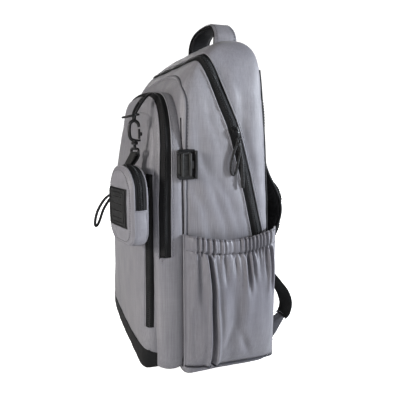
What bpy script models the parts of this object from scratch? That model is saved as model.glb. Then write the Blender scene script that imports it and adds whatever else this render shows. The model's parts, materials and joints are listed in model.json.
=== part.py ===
"""Backpack with a clamshell main compartment, mid compartment, front pocket, elastic side pockets,
an outside USB port and a clip-on pouch.

Frame: +Z up, front of the bag towards -Y, the wearer's back towards +Y, the port side at +X.
Lengths below are in millimetres and are turned into metres when a mesh is made.
"""
import math

import bmesh
import bpy
from mathutils import Matrix, Vector

# ---------------------------------------------------------------- driving dimensions (mm)
Y_SHIFT = 18.734       # moves the whole bag so that the origin is under the middle of its box
WALL = 3.0             # fabric with foam
GAP = 0.3              # between pieces that touch
HALF_W = 145.0         # half width of the main compartment
SEAM_Y = -57.0         # front seam of the main compartment
MID_Y = -92.0          # front face of the mid compartment
MID_HALF_W = 139.0
BASE_Z = 10.0          # lower edge of the back flap
HINGE_Y, HINGE_Z = 84.0, 9.0
STRAP_X, STRAP_W = 74.0, 60.0
STRAP_HINGE = (63.0, 436.0)
HANDLE_Y, HANDLE_AXIS_Z, HANDLE_SPAN = 38.0, 483.0, 50.0
HANG_X = 105.0         # the pouch's hook hangs here
POUCH_TURN = 14.0      # degrees the pouch faces towards +X
POUCH_C = (111.0, -130.0, 247.0)
PORT_C = (-53.0, 304.0)

# main zipper band: height, y of its front edge, y of its rear edge
ZIP = [(495, -42, -28), (465, -38, -24), (446, -27, -13.5), (392, -8.5, 6), (351, 8, 22.5), (280, 28.3, 41),
       (197, 48, 61), (150, 54, 67), (100, 57, 70), (20, 58, 71), (-8, 58, 71)]

# side profile of the main compartment (y, z)
SIDE = [(-57, 0), (83, 0), (85.5, 8), (85.5, 110), (80, 160), (75, 200), (72, 260), (69, 320), (64, 391),
        (60, 440), (55, 462), (47, 473), (36, 477), (22, 475.5), (4, 467), (-11, 457), (-26, 444.5), (-39, 430), (-49.5, 415), (-57, 399)]
# front profile, right half (x, z)
FRONT = [(145, 0), (145, 260), (143.5, 320), (140.5, 352), (138.5, 384), (134.5, 414), (129, 436), (119, 454), (104, 465.5), (82, 473),
         (52, 477), (20, 478.4), (0, 478.5)]
MID = [(112, 6), (130, 11), (137.5, 24), (139, 60), (139, 250), (136, 320), (128, 356), (114, 381), (94, 395),
       (60, 400), (20, 402)]
POCKET = [(92, 6), (112, 12), (120, 32), (122, 90), (122, 285), (118, 330), (106, 358), (86, 372), (40, 377)]
POCKET_T = [(6, 11), (20, 16), (60, 20), (100, 21.5), (150, 21.5), (195, 20), (230, 20), (300, 12), (345, 5), (377, 3)]
# side profile of the mid compartment's front face and of its zipper band (y, z): the upper half leans back
LEAN = [(0.0, -5), (0.0, 250), (9.0, 410)]

MATS = {
    "grey": ((0.30, 0.29, 0.30, 1), 0.62, 0.0), "black": ((0.012, 0.012, 0.013, 1), 0.75, 0.0),
    "zip": ((0.02, 0.02, 0.02, 1), 0.6, 0.0), "metal": ((0.02, 0.02, 0.022, 1), 0.35, 0.8),
    "plastic": ((0.015, 0.015, 0.016, 1), 0.45, 0.0), "steel": ((0.6, 0.6, 0.62, 1), 0.3, 1.0),
    "board": ((0.05, 0.05, 0.05, 1), 0.7, 0.0), "rubber": ((0.03, 0.03, 0.028, 1), 0.6, 0.0),
}


# ---------------------------------------------------------------- mesh helpers
def material(name):
    found = bpy.data.materials.get(name)
    if found:
        return found
    colour, rough, metal = MATS[name]
    mat = bpy.data.materials.new(name)
    mat.use_nodes = True
    shader = mat.node_tree.nodes["Principled BSDF"]
    shader.inputs["Base Color"].default_value = colour
    shader.inputs["Roughness"].default_value = rough
    shader.inputs["Metallic"].default_value = metal
    return mat


def link(mesh, name, mat=None, parent=None):
    obj = bpy.data.objects.new(name, mesh)
    bpy.context.scene.collection.objects.link(obj)
    if mat:
        mesh.materials.clear()
        mesh.materials.append(material(mat))
    if parent is not None:
        obj.parent = parent
        obj.matrix_parent_inverse = parent.matrix_world.inverted()
    return obj


def mesh_of(points, faces, name="m"):
    """A closed mesh from millimetre points, with its faces turned outwards."""
    mesh = bpy.data.meshes.new(name)
    mesh.from_pydata([(x * 0.001, (y + Y_SHIFT) * 0.001, z * 0.001) for x, y, z in points], [], faces)
    bm = bmesh.new()
    bm.from_mesh(mesh)
    bmesh.ops.recalc_face_normals(bm, faces=bm.faces)
    bm.to_mesh(mesh)
    bm.free()
    return mesh


def loft(rings, name="m", closed=False):
    """Solid through rings of equal length, capped at both ends, or joined end to end if closed."""
    n, k = len(rings[0]), len(rings)
    points = [p for ring in rings for p in ring]
    faces = []
    for a in range(k if closed else k - 1):
        b = (a + 1) % k
        faces += [(a * n + i, a * n + (i + 1) % n, b * n + (i + 1) % n, b * n + i) for i in range(n)]
    if not closed:
        faces += [tuple(range(n)), tuple((k - 1) * n + i for i in range(n))]
    return mesh_of(points, faces, name)


def prism_x(outline, x0, x1):
    return loft([[(x, y, z) for y, z in outline] for x in (x0, x1)])


def prism_y(outline, y0, y1):
    return loft([[(x, y, z) for x, z in outline] for y in (y0, y1)])


def prism_z(outline, z0, z1):
    return loft([[(x, y, z) for x, y in outline] for z in (z0, z1)])


def block(x0, x1, y0, y1, z0, z1):
    return prism_z([(x0, y0), (x1, y0), (x1, y1), (x0, y1)], z0, z1)


def mirrored(half):
    """A right half profile from the bottom up, closed with its mirror image."""
    left = [(-x, z) for x, z in reversed(half) if x > 1e-6]
    return list(half) + left


def inset(outline, d):
    """The outline moved inwards by d, for outlines that run counter-clockwise."""
    area = sum(a[0] * b[1] - b[0] * a[1] for a, b in zip(outline, outline[1:] + outline[:1]))
    s = 1 if area > 0 else -1
    out = []
    n = len(outline)
    for i in range(n):
        p, q, r = (Vector(outline[(i + j) % n]) for j in (-1, 0, 1))
        a, b = (q - p).normalized(), (r - q).normalized()
        na, nb = Vector((-a.y, a.x)) * s, Vector((-b.y, b.x)) * s
        m = (na + nb).normalized()
        out.append(tuple(q + m * (d / max(0.35, m.dot(na)))))
    return out


def boolean(first, second, operation):
    """A new mesh: first combined with second."""
    a, b = link(first, "a"), link(second, "b")
    mod = a.modifiers.new("b", "BOOLEAN")
    mod.operation, mod.object, mod.solver = operation, b, "EXACT"
    bpy.context.view_layer.update()
    made = bpy.data.meshes.new_from_object(a.evaluated_get(bpy.context.evaluated_depsgraph_get()))
    bpy.data.objects.remove(a)
    bpy.data.objects.remove(b)
    return made


def both(a, b):
    return boolean(a.copy(), b, "INTERSECT")


def cut(a, b):
    return boolean(a.copy(), b, "DIFFERENCE")


def join(a, b):
    return boolean(a.copy(), b, "UNION")


def rounded(x0, x1, y0, y1, r, steps=3):
    """Rounded rectangle, counter-clockwise; r is one radius or one for each corner from (x0, y0) on."""
    rs = [r] * 4 if not hasattr(r, "__len__") else r
    out = []
    for (cx, cy, sx, sy, start), k in zip(((x0, y0, 1, 1, 180), (x1, y0, -1, 1, 270), (x1, y1, -1, -1, 0), (x0, y1, 1, -1, 90)), rs):
        for i in range(steps + 1):
            a = math.radians(start + 90 * i / steps)
            out.append((cx + sx * k + k * math.cos(a), cy + sy * k + k * math.sin(a)))
    return out


def smooth(route, count):
    """count points on a smooth curve through the route's points."""
    pts = [Vector(p) for p in route]
    pts = [2 * pts[0] - pts[1]] + pts + [2 * pts[-1] - pts[-2]]
    spans = len(pts) - 3
    out = []
    for i in range(count):
        t = i / (count - 1) * spans
        k = min(int(t), spans - 1)
        u = t - k
        p0, p1, p2, p3 = pts[k:k + 4]
        out.append(0.5 * ((2 * p1) + (p2 - p0) * u + (2 * p0 - 5 * p1 + 4 * p2 - p3) * u * u
                          + (3 * p1 - p0 - 3 * p2 + p3) * u ** 3))
    return out


def sweep(path, section, across, closed=False):
    """Sweeps a section of (across, thickness) pairs along path; across gives the width direction at each point."""
    rings = []
    n = len(path)
    for i, p in enumerate(path):
        if closed:
            t = (path[(i + 1) % n] - path[i - 1]).normalized()
        else:
            t = (path[min(i + 1, n - 1)] - path[max(i - 1, 0)]).normalized()
        w = Vector(across(i) if callable(across) else across)
        w = (w - t * w.dot(t)).normalized()
        h = t.cross(w)
        sec = section(i) if callable(section) else section
        rings.append([tuple(p + w * a + h * b) for a, b in sec])
    return loft(rings, closed=closed)


def disc(r, sides=8):
    return [(r * math.cos(2 * math.pi * i / sides), r * math.sin(2 * math.pi * i / sides)) for i in range(sides)]


def torus(centre, r, wire, u, v, around=16, sides=8):
    c, u, v = Vector(centre), Vector(u).normalized(), Vector(v).normalized()
    path = [c + (u * math.cos(a) + v * math.sin(a)) * r for a in (2 * math.pi * i / around for i in range(around))]
    return sweep(path, disc(wire, sides), tuple(u.cross(v)), closed=True)


def flip_x(mesh):
    """The mirror image of a mesh across the middle of the bag."""
    made = mesh.copy()
    made.transform(Matrix.Scale(-1, 4, (1, 0, 0)))
    made.flip_normals()
    return made


def pivot(name, x, y, z, parent=None):
    """An empty on a joint's axis, which the moving pieces hang on."""
    empty = bpy.data.objects.new(name, None)
    bpy.context.scene.collection.objects.link(empty)
    if parent is not None:
        empty.parent = parent
        empty.matrix_parent_inverse = parent.matrix_world.inverted()
    empty.matrix_world = Matrix.Translation((x * 0.001, (y + Y_SHIFT) * 0.001, z * 0.001))
    bpy.context.view_layer.update()
    return empty


def at(table, z):
    """Linear reading of (z, value) pairs in rising z."""
    for (z0, a), (z1, b) in zip(table, table[1:]):
        if z <= z1:
            return a + (b - a) * max(0.0, z - z0) / (z1 - z0)
    return table[-1][1]


for old in list(bpy.data.objects):
    bpy.data.objects.remove(old)

bag = pivot("bag", 0, 0, 0)
flap = pivot("back_flap_axis", 0, HINGE_Y, HINGE_Z, bag)

# ---------------------------------------------------------------- main compartment: one sewn skin, cut into its panels
PLAN = rounded(-HALF_W, HALF_W, SEAM_Y, 85.5, [2, 2, 12, 12])
outer = both(both(prism_x(SIDE, -160, 160), prism_y(mirrored(FRONT), -80, 110)), prism_z(PLAN, -10, 500))
inner = both(both(prism_x(inset(SIDE, WALL), -160, 160), prism_y(inset(mirrored(FRONT), WALL), -80, 110)),
             prism_z(rounded(-HALF_W + WALL, HALF_W - WALL, SEAM_Y + WALL, 85.5 - WALL, [0.5, 0.5, 9, 9]), -10, 500))
skin = cut(outer, inner)


def band(front, rear, far=130, low=BASE_Z):
    """Outline in the side view between two lines of the zipper band, or everything in front of or behind one."""
    f = [(y, z) for z, y in front] if front else [(-far, 500), (-far, -12)]
    r = [(y, z) for z, y in rear] if rear else [(far, 500), (far, -12)]
    return f + list(reversed(r))


edge_f = [(z, f) for z, f, r in ZIP]
edge_r = [(z, r) for z, f, r in ZIP]
edge_m = [(z, (f + r) / 2) for z, f, r in ZIP]


def shift(line, d):
    return [(z, y + d) for z, y in line]


front_of = prism_x(band(None, shift(edge_f, -GAP / 2)), -170, 170)
behind = prism_x(band(shift(edge_r, GAP / 2), None), -170, 170)
upper = block(-170, 170, -54 + GAP, 120, 7 + GAP, 500)
tub = both(both(skin, front_of), upper)
link(both(skin, block(-170, 170, -70, -54, 7 + GAP, 500)), "main_front_panel", "grey", bag)
side_right = both(tub, block(105 + GAP, 170, -80, 120, -10, 500))
# opening behind the port for the charging lead
side_right = cut(side_right, prism_x([(PORT_C[0] + 6 + 3.5 * math.cos(a), PORT_C[1] + 3.5 * math.sin(a))
                                      for a in (i * math.pi / 4 for i in range(8))], 130, 150))
link(side_right, "side_panel_right", "grey", bag)
link(both(tub, block(-170, -105 - GAP, -80, 120, -10, 500)), "side_panel_left", "grey", bag)
link(both(tub, block(-105, 105, -80, 120, 200, 500)), "top_front_panel", "grey", bag)
link(both(skin, block(-170, 170, -80, 120, -10, 7)), "bottom_panel", "grey", bag)
link(block(-128, 128, -50, 72, WALL + GAP, WALL + GAP + 3), "base_board", "board", bag)
tape_zone = block(-170, 170, -80, 120, 15, 500)
link(both(both(skin, prism_x(band(shift(edge_f, GAP / 2), shift(edge_m, -GAP / 2)), -170, 170)), tape_zone),
     "main_zip_tape_front", "zip", bag)
link(both(both(skin, prism_x(band(shift(edge_m, GAP / 2), shift(edge_r, -GAP / 2)), -170, 170)), tape_zone),
     "main_zip_tape_rear", "zip", flap)
back = both(both(skin, behind), block(-170, 170, -80, 120, BASE_Z, 500))
link(back, "back_shell", "grey", flap)

# pocket for a power bank, sewn to the inside of the front panel beside the port
pk = cut(block(40, 125, -53.6, -44, 150, 270), block(43, 122, -55, -46, 153, 280))
link(pk, "power_bank_pocket", "board", bag)

# padded sleeve inside the back, and the two foam pads outside it
BACK = [(25, 85.8), (110, 85.8), (160, 80.3), (200, 75.3), (260, 72.3), (320, 69.3), (388, 64.6)]


def back_slab(x0, x1, d0, d1, z0, z1):
    line = [(z0, at(BACK, z0))] + [p for p in BACK if z0 < p[0] < z1] + [(z1, at(BACK, z1))]
    return prism_x([(y + d0, z) for z, y in line] + [(y + d1, z) for z, y in reversed(line)], x0, x1)


link(back_slab(-118, 118, -15, -10.5, 40, 315), "laptop_sleeve", "board", flap)
for side, name in ((1, "right"), (-1, "left")):
    lo, hi = sorted((side * 12, side * 114))
    link(back_slab(lo, hi, 0.0, 9.0, 30, 380), "back_pad_" + name, "black", flap)

# ---------------------------------------------------------------- mid compartment: a tray open towards the front panel
def leaning(y0, y1, low=-5):
    """Everything between two leaning planes of the mid compartment, above a height."""
    def line(y):
        k = (SEAM_Y - y) / (SEAM_Y - MID_Y) if y < SEAM_Y else 0.0
        return [(y, low)] + [(y + d * k, z) for d, z in LEAN if z > low]
    return prism_x(line(y0) + line(y1)[::-1], -170, 170)


mid_out = both(prism_y(mirrored(MID), MID_Y - 5, SEAM_Y - GAP), leaning(MID_Y, -40))
mid_skin = cut(mid_out, both(prism_y(inset(mirrored(MID), 2.6), MID_Y - 5, SEAM_Y + 5), leaning(MID_Y + 2.6, -40)))
link(join(both(mid_skin, leaning(-75, -40, 170)), both(mid_skin, prism_x([(-88, -5), (-40, -5), (-40, 177), (-88, 177)], -170, 170))),
     "mid_gusset", "grey", bag)
link(both(mid_skin, leaning(-100, -88 - GAP)), "mid_front_panel", "grey", bag)
link(both(mid_skin, leaning(-81.5, -75 - GAP, 177 + GAP)), "mid_zip_tape_rear", "zip", bag)
link(both(mid_skin, leaning(-88, -81.5 - GAP, 177 + GAP)), "mid_zip_tape_front", "zip", bag)

# ---------------------------------------------------------------- front pocket: a shallow bulging tray
def pocket_rings(d, lift):
    """Rings from the pocket's edge to its middle; d insets the edge and lift thins the bulge."""
    outline = inset(mirrored(POCKET), d) if d else mirrored(POCKET)
    rings = []
    for s, h in ((1, 0.0), (0.985, 0.5), (0.95, 0.78), (0.88, 0.93), (0.62, 1.0), (0.25, 1.0)):
        ring = []
        for x, z in outline:
            px, pz = x * s, 195 + (z - 195) * s
            back = at([(z, d) for d, z in LEAN], pz)
            ring.append((px, MID_Y - GAP + back - max(0.0, at(POCKET_T, pz) * h - (lift if h else 0)), pz))
        rings.append(ring)
    return rings


outer_rings = pocket_rings(0, 0)
inner_rings = pocket_rings(2.5, 2.2)
inner_rings[0] = [(x, MID_Y + 16, z) for x, y, z in inner_rings[0]]
# the tray's back edge is trimmed to the leaning panel behind it
pocket_out = cut(loft([[(x, MID_Y + 14, z) for x, y, z in outer_rings[0]]] + outer_rings), leaning(MID_Y - GAP, -40))
pocket_skin = cut(pocket_out, loft(inner_rings))
boot_line = [(-85, 30), (-92.3, 36), (-130, 64), (-130, -10), (-85, -10)]
band_box = block(113, 130, -106, -95.6, 74, 288)
link(both(pocket_skin, prism_x(inset(boot_line, GAP / 2), -170, 170)), "front_boot_patch", "black", bag)
rest = cut(pocket_skin, prism_x(boot_line, -170, 170))
link(both(rest, band_box), "front_zip_tape", "zip", bag)
link(cut(rest, block(113 - GAP, 135, -106 - GAP, -95.6 + GAP, 74 - GAP, 288 + GAP)), "front_pocket", "grey", bag)


# ---------------------------------------------------------------- elastic side pockets
def pocket_section(z, d):
    """Plan outline of the pocket at height z, against the side face; d thins it inwards."""
    b = at([(0, 13), (30, 21), (90, 25), (150, 23), (185, 17), (210, 16)], z)
    x0 = HALF_W + GAP
    arc = [(x0, -55.5), (x0 + b * 0.62, -54), (x0 + b * 0.92, -40), (x0 + b, -5), (x0 + b, 30), (x0 + b * 0.92, 60),
           (x0 + b * 0.62, 78), (x0, 81)]
    return arc if not d else [(x0 - 4, -55.5 + d), (x0 + b * 0.62 - d, -54 + d), (x0 + b * 0.92 - d, -40 + d / 2),
                              (x0 + b - d, -5), (x0 + b - d, 30), (x0 + b * 0.92 - d, 60 - d / 2),
                              (x0 + b * 0.62 - d, 78 - d), (x0 - 4, 81 - d)]


def pocket_wall(heights, floor, d=2.4):
    solid = loft([[(x, y, z) for x, y in pocket_section(z, 0)] for z in heights])
    inside = [floor] + [z for z in heights if z > floor] + [heights[-1] + 6]
    return cut(solid, loft([[(x, y, z) for x, y in pocket_section(min(z, heights[-1]), d)] for z in inside]))


wall = pocket_wall([5, 30, 90, 150, 186 - GAP], 8)
hem = pocket_wall([186, 205], 180, 3.4)
link(wall, "side_pocket_right", "grey", bag)
link(hem, "elastic_hem_right", "grey", bag)
link(flip_x(wall), "side_pocket_left", "grey", bag)
link(flip_x(hem), "elastic_hem_left", "grey", bag)

# ---------------------------------------------------------------- USB port on the seam
py, pz = PORT_C
px = HALF_W + GAP
plate = prism_x(rounded(py - 13, py + 13, pz - 20, pz + 20, 3, 2), px, px + 3)
boss = prism_x(rounded(py - 11, py + 4, pz - 17, pz + 17, 2, 2), px + 1, px + 7)
housing = cut(join(plate, boss), prism_x(rounded(py - 7.3, py + 0.3, pz - 8, pz + 8, 0.5, 1), px + 0.8, px + 12))
link(housing, "usb_housing", "plastic", bag)
socket = cut(prism_x(rounded(py - 7, py, pz - 7.7, pz + 7.7, 0.5, 1), px + 1.1, px + 6.6),
             prism_x(rounded(py - 6.2, py - 0.8, pz - 6.9, pz + 6.9, 0.4, 1), px + 1.8, px + 12))
tongue = block(px + 1.3, px + 5.6, py - 3.4, py - 1.2, pz - 5.6, pz + 5.6)
link(join(socket, tongue), "usb_socket", "steel", bag)
usb_axis = pivot("usb_flap_axis", px + 8.4, py - 12.4, pz, bag)
lid = prism_x(rounded(py - 11.6, py + 4.4, pz - 16, pz + 16, 2, 2), px + 7 + GAP, px + 9.4)
plug = prism_x(rounded(py - 5.6, py - 4.2, pz - 6, pz + 6, 0.4, 1), px + 4.8, px + 8)
tab = prism_x(rounded(py + 3.5, py + 8, pz - 5, pz + 5, 1, 1), px + 7.6, px + 9.2)
barrel = prism_z([(px + 8.4 + a, py - 12.4 + b) for a, b in disc(1.2)], pz - 12, pz + 12)
link(join(join(join(lid, plug), tab), barrel), "usb_flap", "rubber", usb_axis)

# ---------------------------------------------------------------- zipper sliders and their cord pulls
def slider_mesh(centre, along, out, size=(9.0, 15.0, 4.0)):
    """A slider's body lying on the zipper, with the bail that holds the pull."""
    c, t, n = Vector(centre), Vector(along).normalized(), Vector(out).normalized()
    w = t.cross(n)
    a, b, h = size[0] / 2, size[1] / 2, size[2]
    outline = [(-a, -b * 0.9), (-a * 0.45, -b), (a * 0.45, -b), (a, -b * 0.9), (a * 0.8, b * 0.5), (a, b * 0.75),
               (a * 0.5, b), (-a * 0.5, b), (-a, b * 0.75), (-a * 0.8, b * 0.5)]
    base = loft([[tuple(c + w * x + t * y + n * z) for x, y in outline] for z in (GAP, h * 0.62)])
    path = smooth([c + t * (-b * 0.7) + n * (h * 0.5), c + t * (-b * 0.55) + n * (h * 0.95), c + n * (h * 1.35),
                   c + t * (b * 0.55) + n * (h * 0.95), c + t * (b * 0.7) + n * (h * 0.5)], 9)
    bail = sweep(path, [(-1.6, -0.7), (1.6, -0.7), (1.6, 0.7), (-1.6, 0.7)], tuple(w))
    return join(base, bail)


def cord_pull(route, across, spread=3.2, r=1.5, count=14, neck=0.34):
    """A doubled cord: two strands side by side that close into a loop at the far end."""
    mid = smooth(route, count)
    w = Vector(across).normalized()
    half = [0.0] * count
    for i in range(count):
        u = i / (count - 1)
        half[i] = r * 1.12 + (spread - r) * max(0.0, (u - neck) / (1 - neck)) ** 0.7 * (1 if u < 0.97 else 0.9)
    left = [p - w * h for p, h in zip(mid, half)]
    right = [p + w * h for p, h in zip(mid, half)]
    t = (mid[-1] - mid[-2]).normalized()
    bend = [mid[-1] + t * half[-1] * math.sin(a) - w * half[-1] * math.cos(a) for a in (0.8, math.pi / 2, math.pi - 0.8)]
    t0 = (mid[1] - mid[0]).normalized()
    start = [mid[0] - t0 * half[0] * math.sin(a) + w * half[0] * math.cos(a) for a in (0.8, math.pi / 2, math.pi - 0.8)]
    path = left + bend + right[::-1] + start
    plane = w.cross(mid[-1] - mid[0]).normalized()
    return sweep(path, disc(r, 8), tuple(plane), closed=True)


def sub(a, b):
    return tuple(p - q for p, q in zip(a, b))


# main zipper, one slider on each side
zc = (345.0, 17.0)
along = Vector((0, 54.5 - 15.25, 197 - 351)).normalized()
for side, name in ((1, "right"), (-1, "left")):
    seat = pivot("main_slider_%s_seat" % name, side * 143.2, zc[1], zc[0], bag)
    axis = pivot("main_pull_%s_axis" % name, side * 147.1, zc[1] + 2.2, zc[0] - 7.6, seat)
    body = slider_mesh((142.9, zc[1], zc[0]), along, (1, 0, 0))
    top = Vector((146.9, zc[1] + 2.6, zc[0] - 11.4))
    pull = cord_pull([top, top + Vector((0.6, 0.8, -16)), top + Vector((0.8, -2.2, -36)), top + Vector((1.0, -4.5, -54))], (0, 1, 0))
    link(body if side > 0 else flip_x(body), "main_slider_" + name, "metal", seat)
    link(pull if side > 0 else flip_x(pull), "main_pull_" + name, "black", axis)

# front pocket zipper
seat = pivot("front_slider_seat", 122, -101, 266, bag)
axis = pivot("front_pull_axis", 124.5, -104, 258.5, seat)
fn = Vector((0.80, -0.60, 0)).normalized()
fc = Vector((121.4, -101.4, 266))
link(slider_mesh(tuple(fc), (0, 0, -1), tuple(fn), (8, 13, 3.2)), "front_slider", "metal", seat)
top = fc + fn * 3.4 + Vector((0, 0, -10.4))
fw = Vector((0.6, 0.8, 0))
link(cord_pull([top, top + Vector((0, 0, -14)), top + Vector((0, 0, -30)) + fn * 0.3, top + Vector((0, 0, -44)) + fn * 0.4], tuple(fw), 3.0, 1.3),
     "front_pull", "black", axis)

# mid compartment zipper: its slider runs down the left side
seat = pivot("mid_slider_seat", -138.2, -78.8, 322, bag)
axis = pivot("mid_pull_axis", -142, -78.8, 313.4, seat)
link(slider_mesh((-138.2, -78.8, 322), (0, 0, -1), (-1, 0, 0)), "mid_slider", "metal", seat)
top = Vector((-141.9, -78.8, 310.6))
link(cord_pull([top, top + Vector((-0.4, 0.6, -16)), top + Vector((0, 1.6, -36)), top + Vector((0.2, 2.6, -54))], (0, 1, 0)), "mid_pull", "black", axis)

# cord loop sewn into the top seam of the mid compartment, which carries the pouch's hook
MX = 92.0
maxis = pivot("hang_loop_axis", MX, -87.5, 398.5, bag)
RING_Y, RING_Z = -113.5, 357.6      # the bend of the cord that the hook hangs on
route = [(MX, -87.5, 398.5), (MX + 5, -96.5, 393.5), (MX + 10, -106.5, 382), (HANG_X - 1, -112.6, 371), (HANG_X, RING_Y, 362.0)]
link(cord_pull(route, (0.95, 0.31, 0), 4.6, 1.4, 16, 0.2), "hang_loop", "black", maxis)
# a ring threaded on the cord, resting on the hook
link(torus((HANG_X - 0.4, RING_Y - 4.5, 367.8), 10.6, 1.3, (1, 0, 0), (0, -0.97, -0.20), 18, 8), "pull_ring", "metal", maxis)

# ---------------------------------------------------------------- snap hook
haxis = pivot("hook_axis", HANG_X, RING_Y, RING_Z, maxis)
hx, hy = HANG_X, RING_Y
stem = [(hx, hy, 327.5), (hx, hy - 4.6, 330), (hx, hy - 6.6, 336), (hx, hy - 6.8, 348), (hx, hy - 5.2, 357.5),
        (hx, hy, 361.6), (hx, hy + 5.0, 357.5), (hx, hy + 6.4, 350.5)]
bar = sweep(smooth(stem, 22), disc(1.9, 8), (1, 0, 0))
foot = prism_z([(hx + a, hy + b) for a, b in disc(4.6, 12)], 320.6, 325.0)
heel = prism_z(rounded(hx - 2.2, hx + 2.2, hy - 4, hy + 8.4, 1.5, 2), 324, 329.6)
link(join(join(bar, heel), foot), "hook_body", "metal", haxis)
gaxis = pivot("gate_axis", hx, hy + 6.4, 331.8, haxis)
gate = sweep([Vector((hx, hy + 6.4, 330.2)), Vector((hx, hy + 6.5, 338)), Vector((hx, hy + 6.4, 347.6))], disc(1.5, 8), (1, 0, 0))
thumb = block(hx - 1.4, hx + 1.4, hy + 7.4, hy + 10.4, 336, 341)
link(join(gate, thumb), "hook_gate", "metal", gaxis)

# ---------------------------------------------------------------- pouch: swivel eye, webbing tab and a hollow zipped case
paxis = pivot("pouch_axis", hx, hy, 318, haxis)
stem_pin = prism_z([(hx + a, hy + b) for a, b in disc(2.0, 8)], 313.5, 320.6 - GAP)
turn = Matrix.Rotation(math.radians(POUCH_TURN), 3, "Z")
lat, nrm = turn @ Vector((1, 0, 0)), turn @ Vector((0, -1, 0))
eye_path = [Vector((hx, hy, 0)) + lat * a + Vector((0, 0, b)) for a, b in rounded(-8.5, 8.5, 305, 315.0, 4, 3)]
link(join(sweep(eye_path, disc(1.6, 8), tuple(nrm), closed=True), stem_pin), "swivel_eye", "metal", paxis)
PC = Vector(POUCH_C)


def pouch_ring(n, scale=1.0, d=0.0):
    """The pouch's outline at depth n in front of its middle."""
    o = rounded(-38 + d, 38 - d, -53 + d, 53 - d, [20, 20, 30, 30], 4)
    return [tuple(PC + lat * x * scale + Vector((0, 0, z * scale)) + nrm * n) for x, z in o]


# webbing loop through the eye, sewn into the top of the pouch
tab_path = smooth([Vector((hx, hy, z)) + nrm * n for n, z in ((14, 301.6), (8, 303.4), (2.9, 307.6), (0, 309.3), (-3.3, 306), (-3.0, 302.6),
                                                             (-0.5, 301.5))], 16)
link(sweep(tab_path, [(-6.2, -0.8), (6.2, -0.8), (6.2, 0.8), (-6.2, 0.8)], tuple(lat)), "pouch_tab", "black", paxis)
N0, N1 = 12.6, 17.0
link(loft([pouch_ring(N0 + GAP), pouch_ring(N1 - 1.6), pouch_ring(N1, 0.965)]), "pouch_front", "grey", paxis)
link(loft([pouch_ring(-N1, 0.965), pouch_ring(-N1 + 1.6), pouch_ring(-N0 - GAP)]), "pouch_back", "grey", paxis)
around = cut(loft([pouch_ring(-N0), pouch_ring(N0)]), loft([pouch_ring(-N0 - 3, 1, 2.6), pouch_ring(N0 + 3, 1, 2.6)]))
split_z = PC.z - 4
big = 80
link(both(around, block(PC.x - big, PC.x + big, PC.y - big, PC.y + big, split_z + GAP, 400)), "pouch_zip_tape", "zip", paxis)
link(both(around, block(PC.x - big, PC.x + big, PC.y - big, PC.y + big, 100, split_z)), "pouch_gusset", "grey", paxis)
patch = rounded(-25, 25, -28, 24, 2.5, 2)
link(loft([[tuple(PC + lat * x + Vector((0, 0, z)) + nrm * n) for x, z in patch] for n in (N1 + GAP, N1 + 1.7)]),
     "pouch_patch", "board", paxis)
pseat_p = PC - lat * 38.2 + Vector((0, 0, 20)) + nrm * 2
pseat = pivot("pouch_slider_seat", pseat_p.x, pseat_p.y, pseat_p.z, paxis)
link(slider_mesh(tuple(pseat_p), (0, 0, -1), tuple(-lat), (8, 13, 3.4)), "pouch_slider", "metal", pseat)
ptop = pseat_p - lat * 3.8 + Vector((0, 0, -10.6))
ppaxis = pivot("pouch_pull_axis", *tuple(pseat_p - lat * 3.8 + Vector((0, 0, -7.2))), pseat)
link(cord_pull([ptop, ptop + Vector((0, 0, -12)) - lat * 4.5 + nrm * 3, ptop + Vector((0, 0, -27)) - lat * 11.5 + nrm * 9,
                ptop + Vector((0, 0, -44)) - lat * 18.5 + nrm * 16], tuple(nrm * 0.7 + lat * 0.5), 3.0, 1.4), "pouch_pull", "black", ppaxis)

# ---------------------------------------------------------------- carry handle
haxis2 = pivot("handle_axis", 0, HANDLE_Y, HANDLE_AXIS_Z, flap)
arch = smooth([(HANDLE_SPAN + 2, HANDLE_Y, 484.0), (HANDLE_SPAN + 1, HANDLE_Y, 492), (40, HANDLE_Y, 503), (18, HANDLE_Y, 509),
               (-18, HANDLE_Y, 509), (-40, HANDLE_Y, 503), (-HANDLE_SPAN - 1, HANDLE_Y, 492), (-HANDLE_SPAN - 2, HANDLE_Y, 484.0)], 22)


def strip(a, b, half):
    return [(-half, a), (half, a), (half, b), (-half, b)]


link(sweep(arch, strip(-4.6, 0, 18), (0, 1, 0)), "carry_handle", "grey", haxis2)
link(sweep(arch, strip(GAP, 4.2, 16.5), (0, 1, 0)), "handle_lining", "black", haxis2)
for side, name in ((1, "right"), (-1, "left")):
    c = side * (HANDLE_SPAN + 2)
    foot_ = block(c - 7, c + 7, HANDLE_Y - 8, HANDLE_Y + 8, 460, 478.8)
    link(cut(foot_, outer), "handle_tab_" + name, "grey", flap)

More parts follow.
